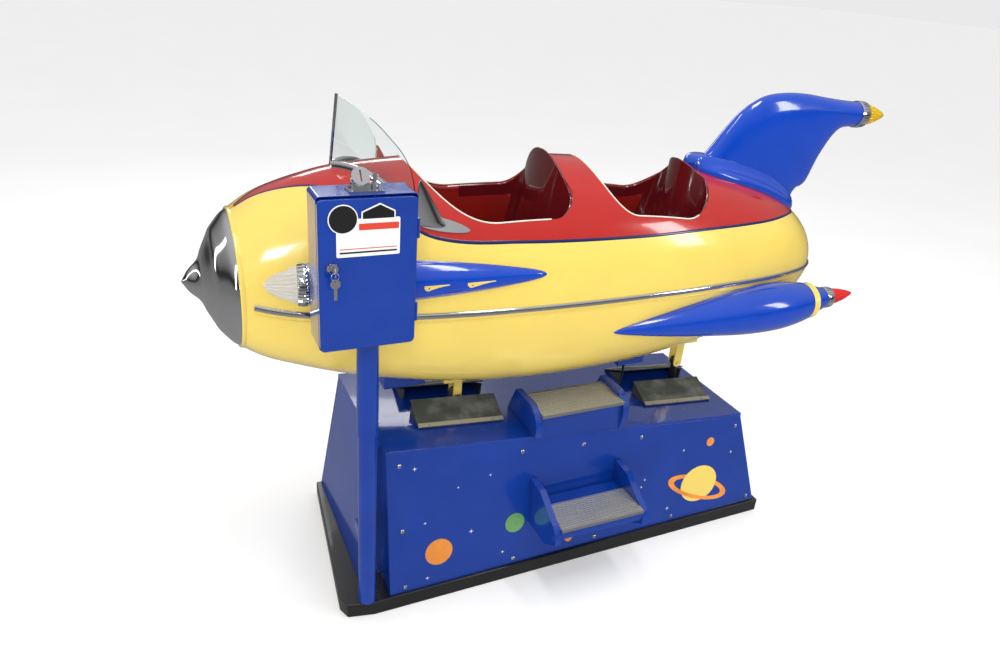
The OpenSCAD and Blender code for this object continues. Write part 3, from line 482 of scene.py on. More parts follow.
def bevelled(obj, width, segments=3, angle=28):
    mod = obj.modifiers.new("edges", "BEVEL")
    mod.width = width
    mod.segments = segments
    mod.limit_method = "ANGLE"
    mod.angle_limit = math.radians(angle)
    mod.harden_normals = True
    return obj


def join(objs, name):
    """Several meshes on one body as one piece."""
    first = objs[0]
    mesh = bpy.data.meshes.new(name)
    bm = bmesh.new()
    for o in objs:
        evaluated = o.evaluated_get(bpy.context.evaluated_depsgraph_get())
        part = evaluated.to_mesh()
        bm.from_mesh(part)
        evaluated.to_mesh_clear()
    bm.to_mesh(mesh)
    bm.free()
    mesh.materials.append(first.data.materials[0])
    obj = bpy.data.objects.new(name, mesh)
    bpy.context.collection.objects.link(obj)
    finish_mesh(obj)
    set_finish(obj, first["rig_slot"])
    body = first["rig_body"]
    replaced = sorted({n for o in objs for n in o.get("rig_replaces", [])})
    for o in objs:
        bpy.data.objects.remove(o)
    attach(obj, body)
    if replaced:
        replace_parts(obj, *replaced)
    return obj


def mirrored(rows):
    return [[Vector((p[0], -p[1], p[2])) for p in row] for row in rows]


# ---- the ship's form: x, half width, top, bottom, centre height ----
BODY = [
    (-1.062, 0.190, 1.226, 0.846, 1.036), (-1.000, 0.205, 1.268, 0.806, 1.019),
    (-0.924, 0.217, 1.298, 0.774, 1.004), (-0.800, 0.231, 1.332, 0.728, 0.989),
    (-0.646, 0.245, 1.350, 0.684, 0.977), (-0.442, 0.256, 1.357, 0.641, 0.969),
    (-0.222, 0.262, 1.354, 0.616, 0.965), (0.012, 0.262, 1.341, 0.610, 0.963),
    (0.261, 0.254, 1.321, 0.623, 0.962), (0.455, 0.240, 1.293, 0.651, 0.961),
    (0.640, 0.217, 1.250, 0.690, 0.958), (0.770, 0.190, 1.203, 0.730, 0.955),
    (0.884, 0.150, 1.137, 0.786, 0.950), (0.960, 0.098, 1.070, 0.852, 0.945),
    (0.998, 0.046, 1.006, 0.898, 0.942), (1.012, 0.008, 0.952, 0.932, 0.942),
]
SEAM = [
    (-1.062, 1), (-1.045, 2), (-0.915, 12), (-0.850, 19), (-0.700, 40), (-0.560, 56), (-0.300, 60),
    (0.080, 60), (0.305, 58), (0.560, 53), (0.720, 45), (0.830, 30), (0.880, 12), (0.900, 1), (1.012, 1),
]
RING_X, TAIL_X = -1.062, 1.012


def curve(table, x, c):
    i = 0
    while i < len(table) - 2 and x >= table[i + 1][0]:
        i += 1
    a, b, d, e = table[max(i - 1, 0)], table[i], table[i + 1], table[min(i + 2, len(table) - 1)]
    w = d[0] - b[0]
    t = min(max((x - b[0]) / w, 0), 1)
    m0 = (d[c] - a[c]) / (d[0] - a[0]) * w
    m1 = (e[c] - b[c]) / (e[0] - b[0]) * w
    return (
        (2 * t**3 - 3 * t * t + 1) * b[c] + (t**3 - 2 * t * t + t) * m0
        + (3 * t * t - 2 * t**3) * d[c] + (t**3 - t * t) * m1
    )


def half_w(x):
    return curve(BODY, x, 1)


def mid_z(x):
    return curve(BODY, x, 4)


def seam(x):
    return max(curve(SEAM, x, 1), 0.6)


def skin(x, a, d=0.0):
    """Point of the ship's surface at station x, a degrees from the top, moved out by d."""
    w = max(half_w(x) + d, 0.0005)
    m = mid_z(x)
    h = curve(BODY, x, 2) - m if cosd(a) > 0 else m - curve(BODY, x, 3)
    return Vector((x, w * sind(a), m + max(h + d, 0.0005) * cosd(a)))


def skin_normal(x, a):
    e = 0.004
    x0, x1 = max(x - e, RING_X), min(x + e, TAIL_X)
    along = skin(x1, a) - skin(x0, a)
    around = skin(x, a + 1) - skin(x, a - 1)
    return along.cross(around).normalized() * -1


def deck_point(x, y, d=0.0):
    """Point of the upper surface above (x, y)."""
    a = math.degrees(math.asin(min(max(y / half_w(x), -1), 1)))
    return skin(x, a) + skin_normal(x, a) * d if d else skin(x, a)


def tuck(p, depth=0.003):
    """Moves a point that lies inside the ship out to just under its skin."""
    x = min(max(p.x, RING_X), TAIL_X)
    w, m = half_w(x), mid_z(x)
    h = curve(BODY, x, 2) - m if p.z > m else m - curve(BODY, x, 3)
    w, h = max(w - depth, 0.001), max(h - depth, 0.001)
    f = math.hypot(p.y / w, (p.z - m) / h)
    if p.x != x or f >= 1 or f < 1e-6:
        return p
    return Vector((p.x, p.y / f, m + (p.z - m) / f))


def stations(x0, x1, n, tail=False):
    xs = [mix(x0, x1, i / (n - 1)) for i in range(n)]
    if tail:
        xs = [mix(x0, x1, sind(90 * i / (n - 1))) for i in range(n)]
    return xs


XS = stations(RING_X, 0.6, 110) + [mix(0.6, TAIL_X, sind(90 * i / 60)) for i in range(1, 61)]


SHELL_T = 0.006
FLOOR_Z = 0.806


def shell(name, xs, a0, a1, n, outer, inner, mat, replaces):
    rows = []
    for x in xs:
        s, e = a0(x), a1(x)
        rows.append(
            [skin(x, mix(s, e, j / n), outer) for j in range(n + 1)]
            + [skin(x, mix(s, e, j / n), inner) for j in range(n, -1, -1)]
        )
    m = len(rows[0])
    faces = grid_faces(len(rows), m)
    last = (len(rows) - 1) * m
    for j in range(n):
        faces.append((j, j + 1, m - 2 - j, m - 1 - j))
        faces.append((last + j, last + j + 1, last + m - 2 - j, last + m - 1 - j))
    return piece(name, [v for r in rows for v in r], faces, mat, "ship", replaces, 40)


def opening(x_front, x_side, x_rear, x_mid, half, rx, ry):
    """Plan outline of a cockpit: swept front, straight sides, wide rear corners, arched rear edge."""
    pts = [(mix(x_front, x_side, (i / 24) ** 2), half * sind(90 * i / 24)) for i in range(25)]
    pts += [(mix(x_side, x_rear - rx, i / 12), half) for i in range(1, 12)]
    pts += [(x_rear - rx + rx * cosd(a), half - ry + ry * sind(a)) for a in range(90, -1, -6)]
    pts += [(mix(x_mid, x_rear, (1 - i / 12) ** 2), (half - ry) * (1 - i / 12)) for i in range(1, 13)]
    return pts + [(x, -y) for x, y in reversed(pts[1:-1])]


FRONT = opening(-0.592, -0.360, -0.118, -0.147, 0.201, 0.073, 0.050)
REAR = opening(-0.032, 0.105, 0.412, 0.362, 0.197, 0.130, 0.100)


def cut_with_prism(obj, outline, z0, z1):
    n = len(outline)
    verts = [(x, y, z) for z in (z0, z1) for x, y in outline]
    mesh = bpy.data.meshes.new("cutter")
    mesh.from_pydata(verts, [], grid_faces(2, n) + [tuple(range(n - 1, -1, -1)), tuple(range(n, 2 * n))])
    bm = bmesh.new()
    bm.from_mesh(mesh)
    bmesh.ops.recalc_face_normals(bm, faces=bm.faces)
    bm.to_mesh(mesh)
    bm.free()
    cutter = bpy.data.objects.new("cutter", mesh)
    bpy.context.collection.objects.link(cutter)
    mod = obj.modifiers.new("cut", "BOOLEAN")
    mod.operation = "DIFFERENCE"
    mod.solver = "EXACT"
    mod.object = cutter
    evaluated = obj.evaluated_get(bpy.context.evaluated_depsgraph_get())
    result = bpy.data.meshes.new_from_object(evaluated)
    obj.modifiers.clear()
    obj.data = result
    bpy.data.objects.remove(cutter)


def make_shell():
    shell("hull_lower_shell", XS, lambda x: seam(x), lambda x: 360 - seam(x), 130, 0, -SHELL_T, "yellow",
        ["hull_lower"])
    xs = [x for x in XS if RING_X < x < 0.893]
    deck = shell("hull_deck_shell", xs, lambda x: -seam(x), lambda x: seam(x), 64, 0, -SHELL_T, "red",
        ["hull_deck"])
    for outline in (FRONT, REAR):
        cut_with_prism(deck, outline, 1.12, 1.5)
    finish_mesh(deck, 40)
    # painted line over the joint
    strip = [x for x in XS if -1.05 < x < 0.886]
    for side in (1, -1):
        rows = []
        for x in strip:
            s = seam(x)
            w = 0.0035 / max(half_w(x), 0.05) * 57.3
            rows.append([skin(x, side * (s + k * w), d)
                for k, d in ((-1, 0.0002), (-0.8, 0.0007), (0.8, 0.0007), (1, 0.0002))])
        loft("pinstripe_" + ("left" if side > 0 else "right"), rows, "pin_blue", "ship")
    for name, outline in (("front", FRONT), ("rear", REAR)):
        half = len(outline) // 2
        last = max(x for x, y in outline) - 0.075
        line = [p for p in outline[half:] + outline[:half] if p[0] < last]
        tube("cockpit_rim_" + name, [deck_point(x, y, 0.0002) for x, y in line], 0.0022, "cream",
            "ship", 10)


def make_tub(name, outline, floor_z, replaces):
    cx = sum(p[0] for p in outline) / len(outline)
    rows = []
    levels = [
        (0, 0), (0.03, 0.0), (0.12, 0.008), (0.3, 0.014), (0.55, 0.022), (0.8, 0.03), (0.92, 0.04),
        (0.98, 0.06), (1, 0.10),
    ]
    for s, inset in levels:
        row = []
        for x, y in outline:
            top = deck_point(x, y).z - 0.005
            row.append(Vector((cx + (x - cx) * (1 - inset / 0.24), y * (1 - inset / 0.2),
                mix(top, floor_z, s))))
        rows.append(row)
    n = len(outline)
    verts = [v for row in rows for v in row]
    faces = grid_faces(len(rows), n) + [tuple(range(len(verts) - n, len(verts)))]
    obj = piece(name, verts, faces, "deep_red", "ship", replaces, 50)
    mod = obj.modifiers.new("wall", "SOLIDIFY")
    mod.thickness = 0.004
    mod.offset = 0


def make_seat(name, outline, x_edge, replaces):
    """Moulded seat: side wings and a leaning back whose lip stands a little above the deck."""
    pts = [p for p in outline if p[0] > x_edge]
    x_back = max(x for x, y in pts)
    rows = []
    for i in range(15):
        s = i / 14
        row = []
        for x, y in pts:
            rear = min(max((x - x_edge) / (x_back - x_edge), 0), 1) ** 2
            lip = 0.019 * max(0, 1 - (y / 0.155) ** 2) if rear > 0.5 else 0
            top = deck_point(x, y).z - 0.006 + lip * 1.3
            lean = 0.004 + 0.085 * s**1.4
            row.append(Vector((x - rear * lean, y * (1 - 0.022 - 0.10 * s**2), mix(top, 0.90, s))))
        rows.append(row)
    verts = [v for row in rows for v in row]
    obj = piece(name, verts, grid_faces(len(rows), len(pts), False), "maroon", "ship", replaces, 60)
    mod = obj.modifiers.new("wall", "SOLIDIFY")
    mod.thickness = 0.006
    mod.offset = 0
    bevelled(obj, 0.002, 2)


def rounded_block(name, lo, hi, r, mat, body, replaces=(), segments=4):
    x0, y0, z0 = lo
    x1, y1, z1 = hi
    verts = [(x, y, z) for z in (z0, z1) for x, y in ((x0, y0), (x1, y0), (x1, y1), (x0, y1))]
    faces = [(3, 2, 1, 0), (4, 5, 6, 7), (0, 1, 5, 4), (1, 2, 6, 5), (2, 3, 7, 6), (3, 0, 4, 7)]
    return bevelled(piece(name, verts, faces, mat, body, replaces), r, segments)


def make_cockpits():
    make_tub("front_tub_liner", FRONT, FLOOR_Z, ["front_cockpit_tub"])
    make_tub("rear_tub_liner", REAR, FLOOR_Z, ["rear_cockpit_tub"])
    for name, x0, x1, half in (("front", -0.330, -0.190, 0.165), ("rear", 0.190, 0.325, 0.160)):
        rounded_block(name + "_bench", (x0, -half, 0.81), (x1, half, 0.945), 0.028, "maroon", "ship",
            [name + "_seat"], 6)
    make_seat("front_seat_back", FRONT, -0.335, ["front_seat"])
    make_seat("rear_seat_back", REAR, 0.150, ["rear_seat"])


NOSE = [
    (0.0, 0.1885), (0.018, 0.1765), (0.041, 0.150), (0.052, 0.135), (0.060, 0.118), (0.070, 0.098),
    (0.0755, 0.086), (0.079, 0.078), (0.084, 0.064), (0.090, 0.054), (0.097, 0.046), (0.105, 0.039),
    (0.116, 0.027), (0.125, 0.0125), (0.129, 0.006), (0.1315, 0.0015),
]


def make_nose():
    pts = spline([(s, r, 0) for s, r in NOSE], 60)
    prof = [(p.x, p.y) for p in pts]
    lathe("nose_dome", prof, (RING_X, 0, 1.036), (-1, 0, 0), "chrome", "ship", 96, None, ["nose_cap"], 60)
    lip = [
        (0.004, 0.1855), (0.004, 0.191), (0.001, 0.1935), (-0.006, 0.1935), (-0.010, 0.1915),
        (-0.010, 0.1855),
    ]
    lathe("nose_lip", lip, (RING_X, 0, 1.036), (-1, 0, 0), "yellow", "ship", 96)


def side_line(x, dz, out):
    """A point on the ship's side at its widest, moved up by dz and out."""
    m = mid_z(x)
    h = (curve(BODY, x, 2) - m) if dz > 0 else (m - curve(BODY, x, 3))
    a = 90 - math.degrees(math.asin(max(min(dz / max(h, 0.02), 0.99), -0.99)))
    return skin(x, -a, out)


def make_belt():
    xs = [mix(-1.035, TAIL_X - 0.0005, sind(90 * i / 110)) for i in range(111)]
    for name, dz, r, mat, rep in (("belt_strip", 0, 0.009, "chrome", ["belt_trim"]),
        ("belt_bead", -0.020, 0.0028, "yellow", [])):
        near = [side_line(x, dz, 0.0005) for x in xs]
        path = near + [Vector((p.x, -p.y, p.z)) for p in reversed(near[:-1])]
        shape = []
        for k in range(9):
            g = math.radians(-90 + 22.5 * k)
            shape.append((0.75 * r * math.cos(g) - 0.0008, r * math.sin(g)))
        shape.append((-0.003, r * 0.9))
        shape.append((-0.003, -r * 0.9))
        loft(name, sweep_rows(path, shape, False, (0, 0, 1)), mat, "ship", rep, True, False, 40)


# ---- pods and lamps ----
POD_FROM, POD_TO = Vector((-0.905, -0.181, 1.078)), Vector((-0.215, -0.249, 1.067))
POD = [
    (0, 0.0), (0.0, 0.056), (0.002, 0.060), (0.008, 0.062), (0.064, 0.0635), (0.120, 0.064),
    (0.190, 0.0635), (0.260, 0.062), (0.370, 0.054), (0.500, 0.040), (0.610, 0.0235), (0.655, 0.0145),
    (0.674, 0.0085), (0.683, 0.003), (0.6845, 0),
]
ENG_FROM, ENG_TO = Vector((0.037, -0.244, 0.843)), Vector((1.051, -0.250, 0.876))
ENGINE = [
    (0, 0.0005), (0.006, 0.005), (0.014, 0.0085), (0.050, 0.0165), (0.130, 0.0315), (0.230, 0.0475),
    (0.320, 0.0600), (0.400, 0.0695), (0.460, 0.0765), (0.520, 0.0815), (0.570, 0.0838), (0.620, 0.0845),
    (0.660, 0.0832), (0.700, 0.0795), (0.740, 0.0735), (0.772, 0.067), (0.778, 0.0645), (0.778, 0.050),
]


def both(name, rows, mat, replaces=(), angle=32):
    a = loft(name + "_near", rows, mat, "ship", replaces, True, False, angle)
    b = loft(name + "_far", mirrored(rows), mat, "ship", replaces, True, False, angle)
    return join([a, b], name)


def profile_line(pts, n):
    return [(p.x, p.y) for p in spline([(s, r, 0) for s, r in pts], n)]


def bezel_rows(r, length, start, direction, ribs, n=144):
    def flute(s, a):
        if 0.25 < s / length < 0.95:
            return 1 + 0.035 * (1 if math.cos(ribs * a) > 0 else -1)
        return 1

    prof = [(0, r * 0.8), (0, r), (length * 0.2, r * 1.02), (length * 0.28, r), (length * 0.5, r),
        (length * 0.72, r * 0.985), (length * 0.93, r * 0.96), (length, r * 0.9), (length, r * 0.5)]
    return lathe_rows(prof, start, direction, n, flute)


def lens_rows(r, length, start, direction, flutes, n=160, sharp=1.35):
    def flute(s, a):
        return (1 - 0.085 * (0.5 - 0.5 * math.cos(flutes * a)) * min(1, (length - s) / length * 2.2)
            * min(1, s / length * 9))

    prof = [(0, r * 0.9)]
    for i in range(33):
        t = i / 32
        prof.append((length * t, r * max((1 - t**sharp), 0.0) ** 0.72))
    return lathe_rows(prof, start, direction, n, flute)


def make_pods():
    d = (POD_TO - POD_FROM).normalized()
    rows = lathe_rows(profile_line(POD, 90), POD_FROM, d, 72)
    both("front_pods", [[tuck(p) for p in row] for row in rows], "ship_blue", ["side_pods"], 50)
    rows = bezel_rows(0.0615, 0.034, POD_FROM + d * 0.012, -d, 34)
    both("headlamp_rings", [[tuck(p) for p in row] for row in rows], "chrome", ["headlamp_bezels"])
    rows = lens_rows(0.0565, 0.116, POD_FROM - d * 0.018, -d, 30)
    both("headlamp_glasses", [[tuck(p, 0.001) for p in row] for row in rows], "lens", 
        ["headlamp_lenses"], 60)
    d = (ENG_TO - ENG_FROM).normalized()
    rows = lathe_rows(profile_line(ENGINE[:-1], 110) + ENGINE[-1:], ENG_FROM, d, 80)
    both("engine_bodies", [[tuck(p) for p in row] for row in rows], "ship_blue", ["engine_pods"], 50)
    ring = [
        (0.774, 0.052), (0.774, 0.0615), (0.777, 0.0635), (0.803, 0.0635), (0.806, 0.0615),
        (0.806, 0.050),
    ]
    both("engine_bands", lathe_rows(ring, ENG_FROM, d, 80), "yellow")
    neck = [
        (0.800, 0.040), (0.800, 0.0505), (0.812, 0.0495), (0.835, 0.046), (0.870, 0.037), (0.870, 0.020),
    ]
    both("engine_necks", lathe_rows(neck, ENG_FROM, d, 64), "ship_blue")
    both("engine_lamp_rings", bezel_rows(0.037, 0.036, ENG_FROM + d * 0.866, d, 26), "chrome",
        ["engine_bezels"])
    both("engine_lamp_glasses", lens_rows(0.0315, 0.122, ENG_FROM + d * 0.894, d, 18), "red_lens",
        ["engine_lenses"], 60)


# ---- tail fin ----
LEAD = [
    (0.425, 1.300), (0.445, 1.322), (0.478, 1.345), (0.531, 1.413), (0.583, 1.472), (0.638, 1.508),
    (0.690, 1.5295), (0.769, 1.5385), (0.860, 1.536), (0.958, 1.5240), (1.040, 1.5155), (1.112, 1.5100),
]
TRAIL = [
    (0.885, 1.150), (0.888, 1.185), (0.905, 1.208), (0.925, 1.214), (0.946, 1.235), (0.971, 1.304),
    (0.990, 1.345), (1.009, 1.380), (1.031, 1.408), (1.052, 1.420), (1.080, 1.4235), (1.112, 1.4245),
]


def make_fin():
    lead = spline([(x, 0, z) for x, z in LEAD], 60)
    trail = spline([(x, 0, z) for x, z in TRAIL], 60)
    rows = []
    for i, (a, b) in enumerate(zip(lead, trail)):
        t = i / 59
        half = mix(0.036, 0.0425, max(0, (t - 0.6) / 0.4) ** 1.5)
        power = mix(0.62, 1.0, t)
        c, h = (a + b) / 2, (a - b) / 2
        row = []
        for k in range(48):
            g = 2 * math.pi * k / 48
            cu, su = math.cos(g), math.sin(g)
            row.append(c + h * math.copysign(abs(cu) ** power, cu)
                + Vector((0, half * math.copysign(abs(su) ** power, su), 0)))
        rows.append(row)
    loft("tail_fin_shell", rows, "ship_blue", "ship", ["tail_fin"], True, False, 60)
    tip = Vector((1.106, 0, 1.467))
    out = Vector((1, 0, -0.03)).normalized()
    loft("tail_lamp_ring", bezel_rows(0.0455, 0.042, tip, out, 30), "chrome", "ship")
    loft("tail_lamp_glass", lens_rows(0.041, 0.125, tip + out * 0.030, out, 22), "yellow_lens", "ship",
        ["tail_lamp"], True, False, 60)
    rows = []
    for i in range(61):
        t = i / 60
        x = mix(0.400, 0.892, t)
        end = math.sqrt(max(1 - (2 * t - 1) ** 8, 0.0025))
        half = (0.066 + 0.012 * sind(180 * t)) * math.sqrt(max(1 - (2 * t - 1) ** 6, 0.0004))
        row = [skin(x, -half / half_w(x) * 57.3, -0.003)]
        for j in range(33):
            y = half * -cosd(180 * j / 32)
            near = min(max((abs(half) - abs(y)) / 0.022, 0), 1)
            roll = 0.024 * math.sqrt(1 - (1 - near) ** 2)
            fillet = 0.026 * max(0, 1 - max(abs(y) - 0.030, 0) / 0.024) ** 2
            row.append(skin(x, y / half_w(x) * 57.3, 0.0006 + (roll + fillet) * end))
        row.append(skin(x, half / half_w(x) * 57.3, -0.003))
        rows.append(row)
    loft("fin_saddle_shell", rows, "ship_blue", "ship", ["fin_saddle"], True, False, 50)


# ---- windshield ----
def ws_base(t, lift=0.0):
    x, y = mix(-0.788, -0.600, t), mix(0, -0.186, t)
    return Vector((x, y, deck_point(x, y).z + lift))


def ws_point(t, z):
    b = ws_base(t)
    return Vector((b.x + 0.105 * (z - 1.342), b.y, z))


def make_windshield():
    top = spline([
        (0.0, 1.523, 0), (0.20, 1.500, 0), (0.45, 1.466, 0), (0.65, 1.428, 0), (0.78, 1.399, 0),
        (0.90, 1.356, 0), (0.985, 1.290, 0),
    ], 31)
    panes, frames = [], []
    for side in (1, -1):
        rows = []
        for p in top:
            t = p.x
            low = ws_base(t, 0.010)
            high = ws_point(t, p.y)
            row = []
            for k in range(13):
                q = low.lerp(high, k / 12)
                q = ws_point(t, q.z)
                row.append(Vector((q.x, side * min(q.y, -0.0012), q.z)))
            rows.append(row)
        n = 13
        verts = [v for r in rows for v in r]
        obj = piece("pane_%d" % (side + 1), verts, grid_faces(len(rows), n, False), "pane", "ship",
            ["windshield_panes"], 60)
        mod = obj.modifiers.new("thick", "SOLIDIFY")
        mod.thickness = 0.0045
        mod.offset = 0
        panes.append(obj)
        path = [ws_base(i / 20, 0.006) for i in range(21)]
        path = [Vector((p.x, side * min(p.y, -0.002), p.z)) for p in path]
        shape = [
            (-0.008, -0.010), (0.008, -0.010), (0.0078, 0.000), (0.005, 0.007), (0.0035, 0.0085),
            (-0.0035, 0.0085), (-0.005, 0.007), (-0.0078, 0.000),
        ]
        frames.append(loft("sill_%d" % (side + 1), sweep_rows(path, shape, False, (0, 0, 1)), "chrome",
            "ship", ["windshield_frame"]))
    join(panes, "windshield_glass")
    rail = [Vector((-0.790 + 0.105 * (z - 1.342), 0, z))
        for z in [mix(1.345, 1.524, i / 10) for i in range(11)]]
    frames.append(loft("rail", sweep_rows(rail, ring_shape(0.0042, 10)), "chrome", "ship"))
    join(frames, "windshield_sill")
    feet = []
    for side in (1, -1):
        rows = []
        for i in range(25):
            t = i / 24
            x = mix(-0.612, -0.458, t)
            w = 0.021 * math.sqrt(max(1 - (2 * t - 1) ** 2, 0.003)) * mix(1.1, 0.7, t)
            y = mix(-0.183, -0.206, t)
            base = deck_point(x, y)
            nrm = skin_normal(x, -math.degrees(math.asin(min(-y / half_w(x), 1))))
            row = []
            for k in range(17):
                g = math.pi * k / 16
                across = Vector((0, -nrm.z, nrm.y)) * (w * math.cos(g))
                row.append(base + across + nrm * (0.030 * mix(1, 0.55, t) * math.sin(g) ** 0.7
                    * math.sqrt(max(1 - (2 * t - 1) ** 4, 0.01)) - 0.004))
            rows.append([Vector((p.x, side * p.y, p.z)) for p in row])
        feet.append(loft("foot_%d" % (side + 1), rows, "chrome", "ship", ["windshield_brackets"], True,
            False, 60))
        tri = [
            (-0.6040, 1.342), (-0.6085, 1.332), (-0.612, 1.236), (-0.600, 1.222), (-0.540, 1.206),
            (-0.527, 1.212), (-0.530, 1.222), (-0.598, 1.340),
        ]
        n = len(tri)
        verts = [(x, side * (-0.200 + s * 0.0016), z) for s in (-1, 1) for x, z in tri]
        fin = piece("blade_%d" % (side + 1), verts,
            grid_faces(2, n) + [tuple(range(n - 1, -1, -1)), tuple(range(n, 2 * n))], "chrome", "ship")
        feet.append(bevelled(fin, 0.0008, 2))
    join(feet, "windshield_feet")


# ---- base decoration: plain stars and planets of no particular design ----
LEAN = (0.318 - 0.250) / 0.4843


def deck_z(x):
    return 0.548 - 0.116 / 1.380 * (x + 0.720)


def under_deck(x):
    return deck_z(x) - 0.01204


def on_panel(x, z, out=0.0):
    n = Vector((0, -1, LEAN)).normalized()
    return Vector((x, -(0.250 + LEAN * (under_deck(x) - z)), z)) + n * out


def decal(name, outline, mat, out=0.0006):
    pts = [on_panel(x, z, out) for x, z in outline]
    low = [on_panel(x, z, 0.0) for x, z in outline]
    n = len(pts)
    return piece(name, low + pts, grid_faces(2, n) + [tuple(range(n, 2 * n))], mat, "base")


def ellipse(cx, cz, a, b, turn=0, n=40):
    c, s = cosd(turn), sind(turn)
    pts = [(a * cosd(360 * k / n), b * sind(360 * k / n)) for k in range(n)]
    return [(cx + c * u - s * v, cz + s * u + c * v) for u, v in pts]


def make_decals():
    stars = []
    for x, z, r in [
        (-0.612, 0.474, 0.008), (-0.581, 0.280, 0.006), (-0.425, 0.212, 0.009), (-0.576, 0.080, 0.007),
        (-0.311, 0.105, 0.007), (0.634, 0.279, 0.007), (0.247, 0.247, 0.006), (0.359, 0.106, 0.008),
        (0.155, 0.309, 0.007), (0.234, 0.221, 0.006), (-0.360, 0.400, 0.005), (-0.470, 0.380, 0.005),
        (0.410, 0.330, 0.006), (0.600, 0.120, 0.006),
    ]:
        pts = []
        for k in range(16):
            q = r * (1 if k % 4 == 0 else 0.34 if k % 2 == 0 else 0.26)
            pts.append((x + q * sind(22.5 * k), z + q * cosd(22.5 * k)))
        stars.append(decal("star_%d" % len(stars), pts, "white"))
    join(stars, "panel_stars")
    decal("planet_orange", ellipse(-0.536, 0.166, 0.046, 0.046), "orange")
    decal("planet_green", ellipse(-0.268, 0.204, 0.035, 0.035), "green")
    decal("planet_small", ellipse(0.529, 0.341, 0.017, 0.017), "orange")
    decal("planet_low", ellipse(-0.058, 0.093, 0.015, 0.015), "orange")
    ring_x, ring_z, ring_turn, ring_points = 0.492, 0.163, -22, 72
    outer = ellipse(ring_x, ring_z, 0.149, 0.045, ring_turn, ring_points)
    inner = ellipse(ring_x, ring_z, 0.124, 0.031, ring_turn, ring_points)
    gap = ellipse(ring_x, ring_z, 0.120, 0.030, ring_turn, ring_points)
    decal("planet_ring", outer, "orange", 0.0005)
    decal("planet_gap", gap, "board_blue", 0.0007)
    decal("planet_pale", ellipse(0.495, 0.178, 0.082, 0.072, 0, 60), "yellow", 0.0009)
    half = ring_points // 2
    # the near half of the ring passes in front of the planet
    decal("planet_band", outer[half:] + inner[half:][::-1], "orange", 0.0012)


# ---- mechanical pieces keep their CAD shape with worked edges ----
def make_base():
    dress("plinth", "black", 0.003)
    for node in ("front_panel", "rear_panel", "left_end_panel", "right_end_panel", "corner_recess"):
        dress(node, "board_blue", 0.0012)
    dress("top_deck", "board_blue", 0.004, 3)
    for node in ("upper_step_housing", "lower_step_housing"):
        dress(node, "board_blue", 0.005, 3)
    for node in ("upper_step_tread", "lower_step_tread"):
        dress(node, "alloy", 0.0008)
    dress("slot_brackets", "frame", 0.001)
    dress("flap_strips", "alloy", 0.0005)
    dress("panel_screws", "chrome", 0.0)
    dress("rubber_flaps", "flap", 0.0012)
    dress("cabinet_frame", "frame", 0.002)
    dress("front_upright", "frame", 0.002)
    dress("front_pivot_pin", "steel", 0.0008)
    dress("gearmotor", "motor", 0.004)
    dress("control_box", "plastic", 0.004)
    dress("crank_arm", "steel", 0.001)
    dress("drive_rod", "black", 0.001)
    dress("keel_blocks", "board_blue", 0.003)
    dress("front_fork", "yellow", 0.0015)
    dress("rear_clevis", "yellow", 0.0015)
    dress("steering_column", "frame", 0.001)
    dress("steering_wheel", "wheel", 0.0008)
    dress("rear_grab_bar", "chrome", 0.001)


def make_plate():
    """A blank price plate: pale field, coloured band, round and pointed dark blanks."""
    lo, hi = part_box("price_plate")
    body = NODES["price_plate"]["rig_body"]

    def flat(name, outline, mat, front, replaces=()):
        n = len(outline)
        verts = [(x, y, z) for y in (hi[1], lo[1] - front) for x, z in outline]
        faces = grid_faces(2, n) + [tuple(range(n - 1, -1, -1)), tuple(range(n, 2 * n))]
        return piece(name, verts, faces, mat, body, replaces)

    def box(x0, z0, x1, z1, r=0.004):
        pts = []
        for cx, cz, a in ((x1 - r, z1 - r, 0), (x0 + r, z1 - r, 90), (x0 + r, z0 + r, 180),
            (x1 - r, z0 + r, 270)):
            pts += [(cx + r * cosd(a + 15 * k), cz + r * sind(a + 15 * k)) for k in range(7)]
        return pts

    flat("plate_field", box(-0.869, 1.220, -0.717, 1.282), "white", 0.0, ["price_plate"])
    flat("plate_upper", box(-0.862, 1.276, -0.717, 1.312), "white", 0.0002)
    flat("plate_band", box(-0.816, 1.284, -0.720, 1.300, 0.002), "label_red", 0.0005)
    flat("plate_line", box(-0.862, 1.2385, -0.724, 1.2405, 0.0009), "label_red", 0.0005)
    flat("plate_line_low", box(-0.862, 1.2285, -0.724, 1.2325, 0.0015), "black", 0.0005)
    flat("plate_disc_edge", ellipse(-0.853, 1.312, 0.035, 0.035, 0, 56), "white", 0.0008)
    flat("plate_disc", ellipse(-0.853, 1.312, 0.0325, 0.0325, 0, 56), "black", 0.0012)
    flat("plate_gable_edge", [
        (-0.810, 1.308), (-0.729, 1.308), (-0.729, 1.328), (-0.766, 1.347), (-0.810, 1.328),
    ], "white", 0.0004)
    flat("plate_gable", [
        (-0.807, 1.311), (-0.732, 1.311), (-0.732, 1.326), (-0.766, 1.3435), (-0.807, 1.326),
    ], "black", 0.0008)


def make_coin_box():
    dress("post_column", "base_blue", 0.001)
    dress("post_tube", "base_blue", 0.0015)
    dress("coin_box_case", "base_blue", 0.0015)
    dress("coin_box_door", "base_blue", 0.006, 4)
    make_plate()
    dress("door_lock", "chrome", 0.0008)
    dress("hanging_key", "chrome", 0.0005)
    dress("coin_entry", "chrome", 0.0012)
    dress("coin_return_plunger", "chrome", 0.0008)
    dress("coin_mechanism", "steel", 0.001)
    dress("cash_box", "steel", 0.001)


